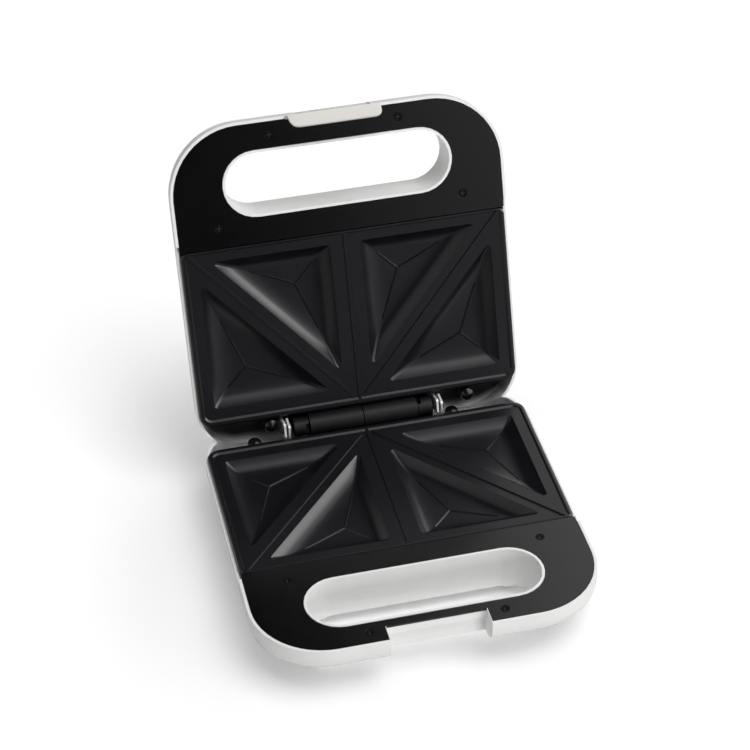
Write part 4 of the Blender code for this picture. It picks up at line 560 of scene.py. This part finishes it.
class MakeStage(bpy.types.Operator):
    """Sets the camera, the lamps, the room's light and the pale floor"""
    bl_idname = "sandwich.make_stage"
    bl_label = "Make stage"

    def execute(self, context):
        stage = context.scene.sandwich_stage
        context.scene.view_settings.view_transform = "Standard"
        self.place_camera(context, stage)
        for name, place, span, power in LAMPS:
            self.hang_lamp(context, name, place, span, getattr(stage, power))
        self.light_room(context, stage)
        self.lay_floor(context, stage)
        return {"FINISHED"}

    def place_camera(self, context, stage):
        camera = bpy.data.objects.new("camera", bpy.data.cameras.new("camera"))
        camera.data.sensor_width = SENSOR_WIDTH
        camera.data.lens = stage.lens
        camera.data.clip_end = VIEW_DEPTH
        camera.matrix_world = (Matrix.Translation(stage.camera_place)
                               @ Matrix.Rotation(stage.camera_azimuth, 4, "Z")
                               @ Matrix.Rotation(math.pi / 2 - stage.camera_elevation, 4, "X")
                               @ Matrix.Rotation(stage.camera_roll, 4, "Z"))
        context.scene.collection.objects.link(camera)
        context.scene.camera = camera

    def hang_lamp(self, context, name, place, span, power):
        lamp = bpy.data.objects.new(name, bpy.data.lights.new(name, "AREA"))
        lamp.data.shape = "SQUARE"
        lamp.data.size = span
        lamp.data.energy = power
        aim = (cad_centre() - Vector(place)).to_track_quat("-Z", "Y")
        lamp.matrix_world = Matrix.Translation(place) @ aim.to_matrix().to_4x4()
        lamp.visible_glossy = False
        context.scene.collection.objects.link(lamp)

    def light_room(self, context, stage):
        """White to the camera and through clear plastic, panels to glossy faces, else a fill."""
        context.scene.world = bpy.data.worlds.new("room")
        room = Finish(context.scene.world, shader="Background", Color=(1.0, 1.0, 1.0, 1.0))
        seen = room.node("ShaderNodeLightPath", output="Is Camera Ray")
        glossy = room.node("ShaderNodeLightPath", output="Is Glossy Ray")
        through = room.node("ShaderNodeLightPath", output="Is Transmission Ray")
        direction = room.node("ShaderNodeTexCoord", output="Generated")
        across, upward = room.parts(direction, "XZ")
        panels = (across.spread(*SCREEN_EDGE, 0.0, SCREEN_STRENGTH)
                  * upward.spread(*SCREEN_HEIGHT, SCREEN_LOW_SHARE, 1.0)
                  + across.spread(*RIGHT_EDGE, 0.0, RIGHT_STRENGTH)
                  + across.spread(*LEFT_EDGE, 0.0, LEFT_STRENGTH))
        for towards, edge, strength in MIRRORED_LIGHTS:
            nearness = room.node("ShaderNodeVectorMath", {"operation": "DOT_PRODUCT"},
                                 {0: direction, 1: towards}, output="Value")
            panels = panels + nearness.spread(*edge, 0.0, strength)
        fill = (1.0 - seen) * (1.0 - through) * (1.0 - glossy) * stage.fill_level
        room.drive("Strength", seen + through + glossy * panels + fill)

    def lay_floor(self, context, stage):
        """A pale floor that keeps the shadow and runs into the white background."""
        bm = bmesh.new()
        bmesh.ops.create_grid(bm, x_segments=1, y_segments=1, size=stage.floor_span / 2)
        mesh = bpy.data.meshes.new("floor")
        bm.to_mesh(mesh)
        bm.free()
        floor = bpy.data.objects.new("floor", mesh)
        context.scene.collection.objects.link(floor)
        finish = Finish(bpy.data.materials.new("pale_floor"), Roughness=1.0,
                        Specular_IOR_Level=0.0, Emission_Strength=1.0)
        mirrored = finish.node("ShaderNodeLightPath", output="Is Glossy Ray")
        reach = finish.node("ShaderNodeVectorMath", {"operation": "LENGTH"},
                            {0: finish.place()}, output="Value")
        far = mirrored * reach.spread(*DARK_RING)
        finish.drive("Base Color", finish.blend(far, tuple(stage.floor), DARK_TONE))
        seen = finish.node("ShaderNodeLightPath", output="Is Camera Ray")
        near = finish.blend(reach.spread(*NEAR_RING), (stage.floor_lift,) * 3,
                            (stage.floor_lift + NEAR_RISE,) * 3)
        glow = finish.blend(reach.spread(*FAR_RING), near, (FAR_GLOW,) * 3)
        finish.drive("Emission Color", finish.blend(seen, (0.0, 0.0, 0.0), glow))
        mesh.materials.append(finish.owner)


def cad_centre():
    low, high = CAD_BOX
    return (low + high) / 2


class MakeHousings(bpy.types.Operator):
    """Dresses the two white housings"""
    bl_idname = "sandwich.make_housings"
    bl_label = "Make housings"

    def execute(self, context):
        edges = context.scene.sandwich_edges
        finishes = kit()
        for side, finish in (("lower", "shell"), ("upper", "lid")):
            shell = rounded_copy(side + "_housing", side + "_shell", "shell", finishes,
                                 edges.housing, edges.steps)
            shell.material_slots[0].material = finishes[finish]
        return {"FINISHED"}


class MakeBezels(bpy.types.Operator):
    """Dresses the black bezels round the handle slots"""
    bl_idname = "sandwich.make_bezels"
    bl_label = "Make bezels"

    def execute(self, context):
        edges = context.scene.sandwich_edges
        for side in ("lower", "upper"):
            rounded_copy(side + "_bezel", side + "_frame", "bezel", kit(), edges.bezel,
                         edges.steps)
        return {"FINISHED"}


class MakePlates(bpy.types.Operator):
    """Dresses the two cooking plates with rounded ridges and pockets"""
    bl_idname = "sandwich.make_plates"
    bl_label = "Make cooking plates"

    def execute(self, context):
        edges = context.scene.sandwich_edges
        for side in ("lower", "upper"):
            rounded_copy(side + "_cooking_plate", side + "_plate", "plate", kit(), edges.plate,
                         edges.steps, crease=PLATE_CREASE_ANGLE)
        return {"FINISHED"}


class MakeLatch(bpy.types.Operator):
    """Dresses the latch on the lid's front and its pin"""
    bl_idname = "sandwich.make_latch"
    bl_label = "Make latch"

    def execute(self, context):
        edges = context.scene.sandwich_edges
        rounded_copy("latch", "latch_flap", "latch", kit(), edges.latch, edges.steps)
        finish_node("latch_pin", "steel", kit())
        return {"FINISHED"}


class MakeHinge(bpy.types.Operator):
    """Dresses the hinge covers, brackets, rivets, washers and wiring sleeves"""
    bl_idname = "sandwich.make_hinge"
    bl_label = "Make hinge"

    def execute(self, context):
        edges = context.scene.sandwich_edges
        finishes = kit()
        for side in ("lower", "upper"):
            rounded_copy(side + "_hinge_cover", side + "_cover", "hinge", finishes, edges.small,
                         edges.steps)
            for word in ("inner", "outer"):
                rounded_copy(f"{side}_{word}_bracket", f"{side}_{word}_strip", "steel", finishes,
                             edges.small, edges.steps)
            finish_node(side + "_wiring_sleeve", "sleeve", finishes)
        for side in ("left", "right"):
            rivet = rounded_copy("hinge_rivet_" + side, "rivet_" + side, "steel", finishes,
                                 edges.small, edges.steps)
            # The rivets take the same near-black steel, painted shade
            rivet.material_slots[0].material = finishes["washer"]
            finish_node("hinge_washer_" + side, "steel", finishes, "washer")
        return {"FINISHED"}


class MakeScrews(bpy.types.Operator):
    """Dresses the bezel screws and the domed deck screws"""
    bl_idname = "sandwich.make_screws"
    bl_label = "Make screws"

    def execute(self, context):
        edges = context.scene.sandwich_edges
        finishes = kit()
        for side in ("lower", "upper"):
            lean = OPEN_ANGLE if side == "upper" else math.pi
            outward = Vector((0.0, -math.sin(lean), -math.cos(lean)))
            for count in range(1, 5):
                bm = joined_copy(f"{side}_bezel_screw_{count}")
                self.mark_recess(bm, outward)
                screw = place_piece(f"{side}_small_screw_{count}", bm,
                                    f"{side}_bezel_screw_{count}",
                                    finishes["small_screw"])
                round_edges(screw, edges.small / 2, edges.steps)
            for count in range(1, 3):
                rounded_copy(f"{side}_deck_screw_{count}", f"{side}_dome_screw_{count}",
                             "black_steel", finishes, edges.small, edges.steps)
        return {"FINISHED"}

    def mark_recess(self, bm, outward):
        """Marks the faces that lie in the driver recess, below the head's face."""
        wear = bm.loops.layers.float.new(RECESS_HIGHLIGHT)
        head = max(corner.co.dot(outward) for corner in bm.verts)
        shallow, deep = RECESS_DEPTHS
        for face in bm.faces:
            below = head - face.calc_center_median().dot(outward)
            inside = face.normal.dot(outward) > RECESS_FACING and shallow < below < deep
            for corner in face.loops:
                corner[wear] = 1.0 if inside else 0.0


class MakeSmallParts(bpy.types.Operator):
    """Dresses the feet, cord gland and indicator lights"""
    bl_idname = "sandwich.make_small_parts"
    bl_label = "Make feet and lights"

    def execute(self, context):
        edges = context.scene.sandwich_edges
        finishes = kit()
        for count in range(1, 5):
            rounded_copy(f"rubber_foot_{count}", f"foot_{count}", "rubber", finishes,
                         edges.latch, edges.steps)
        rounded_copy("cord_gland", "gland", "gland", finishes, edges.bezel, edges.steps)
        rounded_copy("power_light_lens", "power_lens", "red", finishes, edges.small, edges.steps)
        rounded_copy("ready_light_lens", "ready_lens", "green", finishes, edges.small,
                     edges.steps)
        return {"FINISHED"}


class MakeInnerWorks(bpy.types.Operator):
    """Finishes the heaters, reflectors, thermostats, block and leads inside"""
    bl_idname = "sandwich.make_inner_works"
    bl_label = "Make inner works"

    def execute(self, context):
        finishes = kit()
        for side in ("lower", "upper"):
            finish_node(side + "_heating_element", "heater", finishes)
            finish_node(side + "_heat_reflector", "pan", finishes)
            finish_node(side + "_thermostat", "ceramic", finishes)
        for node in ("terminal_block", "thermal_fuse", "cord_clamp"):
            finish_node(node, "ceramic", finishes)
        for node in ("fuse_lead", "thermostat_lead"):
            finish_node(node, "lead", finishes)
        for node in ("power_lamp", "ready_lamp"):
            finish_node(node, "glass", finishes)
        finish_node("lamp_holder", "hinge", finishes)
        return {"FINISHED"}


OPERATORS = (MakeStage, MakeHousings, MakeBezels, MakePlates, MakeLatch, MakeHinge, MakeScrews,
             MakeSmallParts, MakeInnerWorks)


class SandwichMakerPanel(bpy.types.Panel):
    """Settings and steps of the sandwich maker's looks"""
    bl_idname = "VIEW3D_PT_sandwich_maker"
    bl_label = "Sandwich Maker"
    bl_space_type = "VIEW_3D"
    bl_region_type = "UI"
    bl_category = "Sandwich Maker"

    def draw(self, context):
        for group in ("sandwich_finish", "sandwich_edges", "sandwich_stage"):
            settings = getattr(context.scene, group)
            box = self.layout.box()
            for name in settings.__annotations__:
                box.prop(settings, name)
        for operator in OPERATORS:
            self.layout.operator(operator.bl_idname)


CLASSES = (FinishColours, EdgeSizes, StageSettings, *OPERATORS, SandwichMakerPanel)


def register():
    for made in CLASSES:
        bpy.utils.register_class(made)
    bpy.types.Scene.sandwich_finish = PointerProperty(type=FinishColours)
    bpy.types.Scene.sandwich_edges = PointerProperty(type=EdgeSizes)
    bpy.types.Scene.sandwich_stage = PointerProperty(type=StageSettings)


def unregister():
    del bpy.types.Scene.sandwich_stage
    del bpy.types.Scene.sandwich_edges
    del bpy.types.Scene.sandwich_finish
    for made in reversed(CLASSES):
        bpy.utils.unregister_class(made)


def main():
    register()
    bpy.ops.sandwich.make_stage()
    bpy.ops.sandwich.make_housings()
    bpy.ops.sandwich.make_bezels()
    bpy.ops.sandwich.make_plates()
    bpy.ops.sandwich.make_latch()
    bpy.ops.sandwich.make_hinge()
    bpy.ops.sandwich.make_screws()
    bpy.ops.sandwich.make_small_parts()
    bpy.ops.sandwich.make_inner_works()


if __name__ == "__main__":
    main()
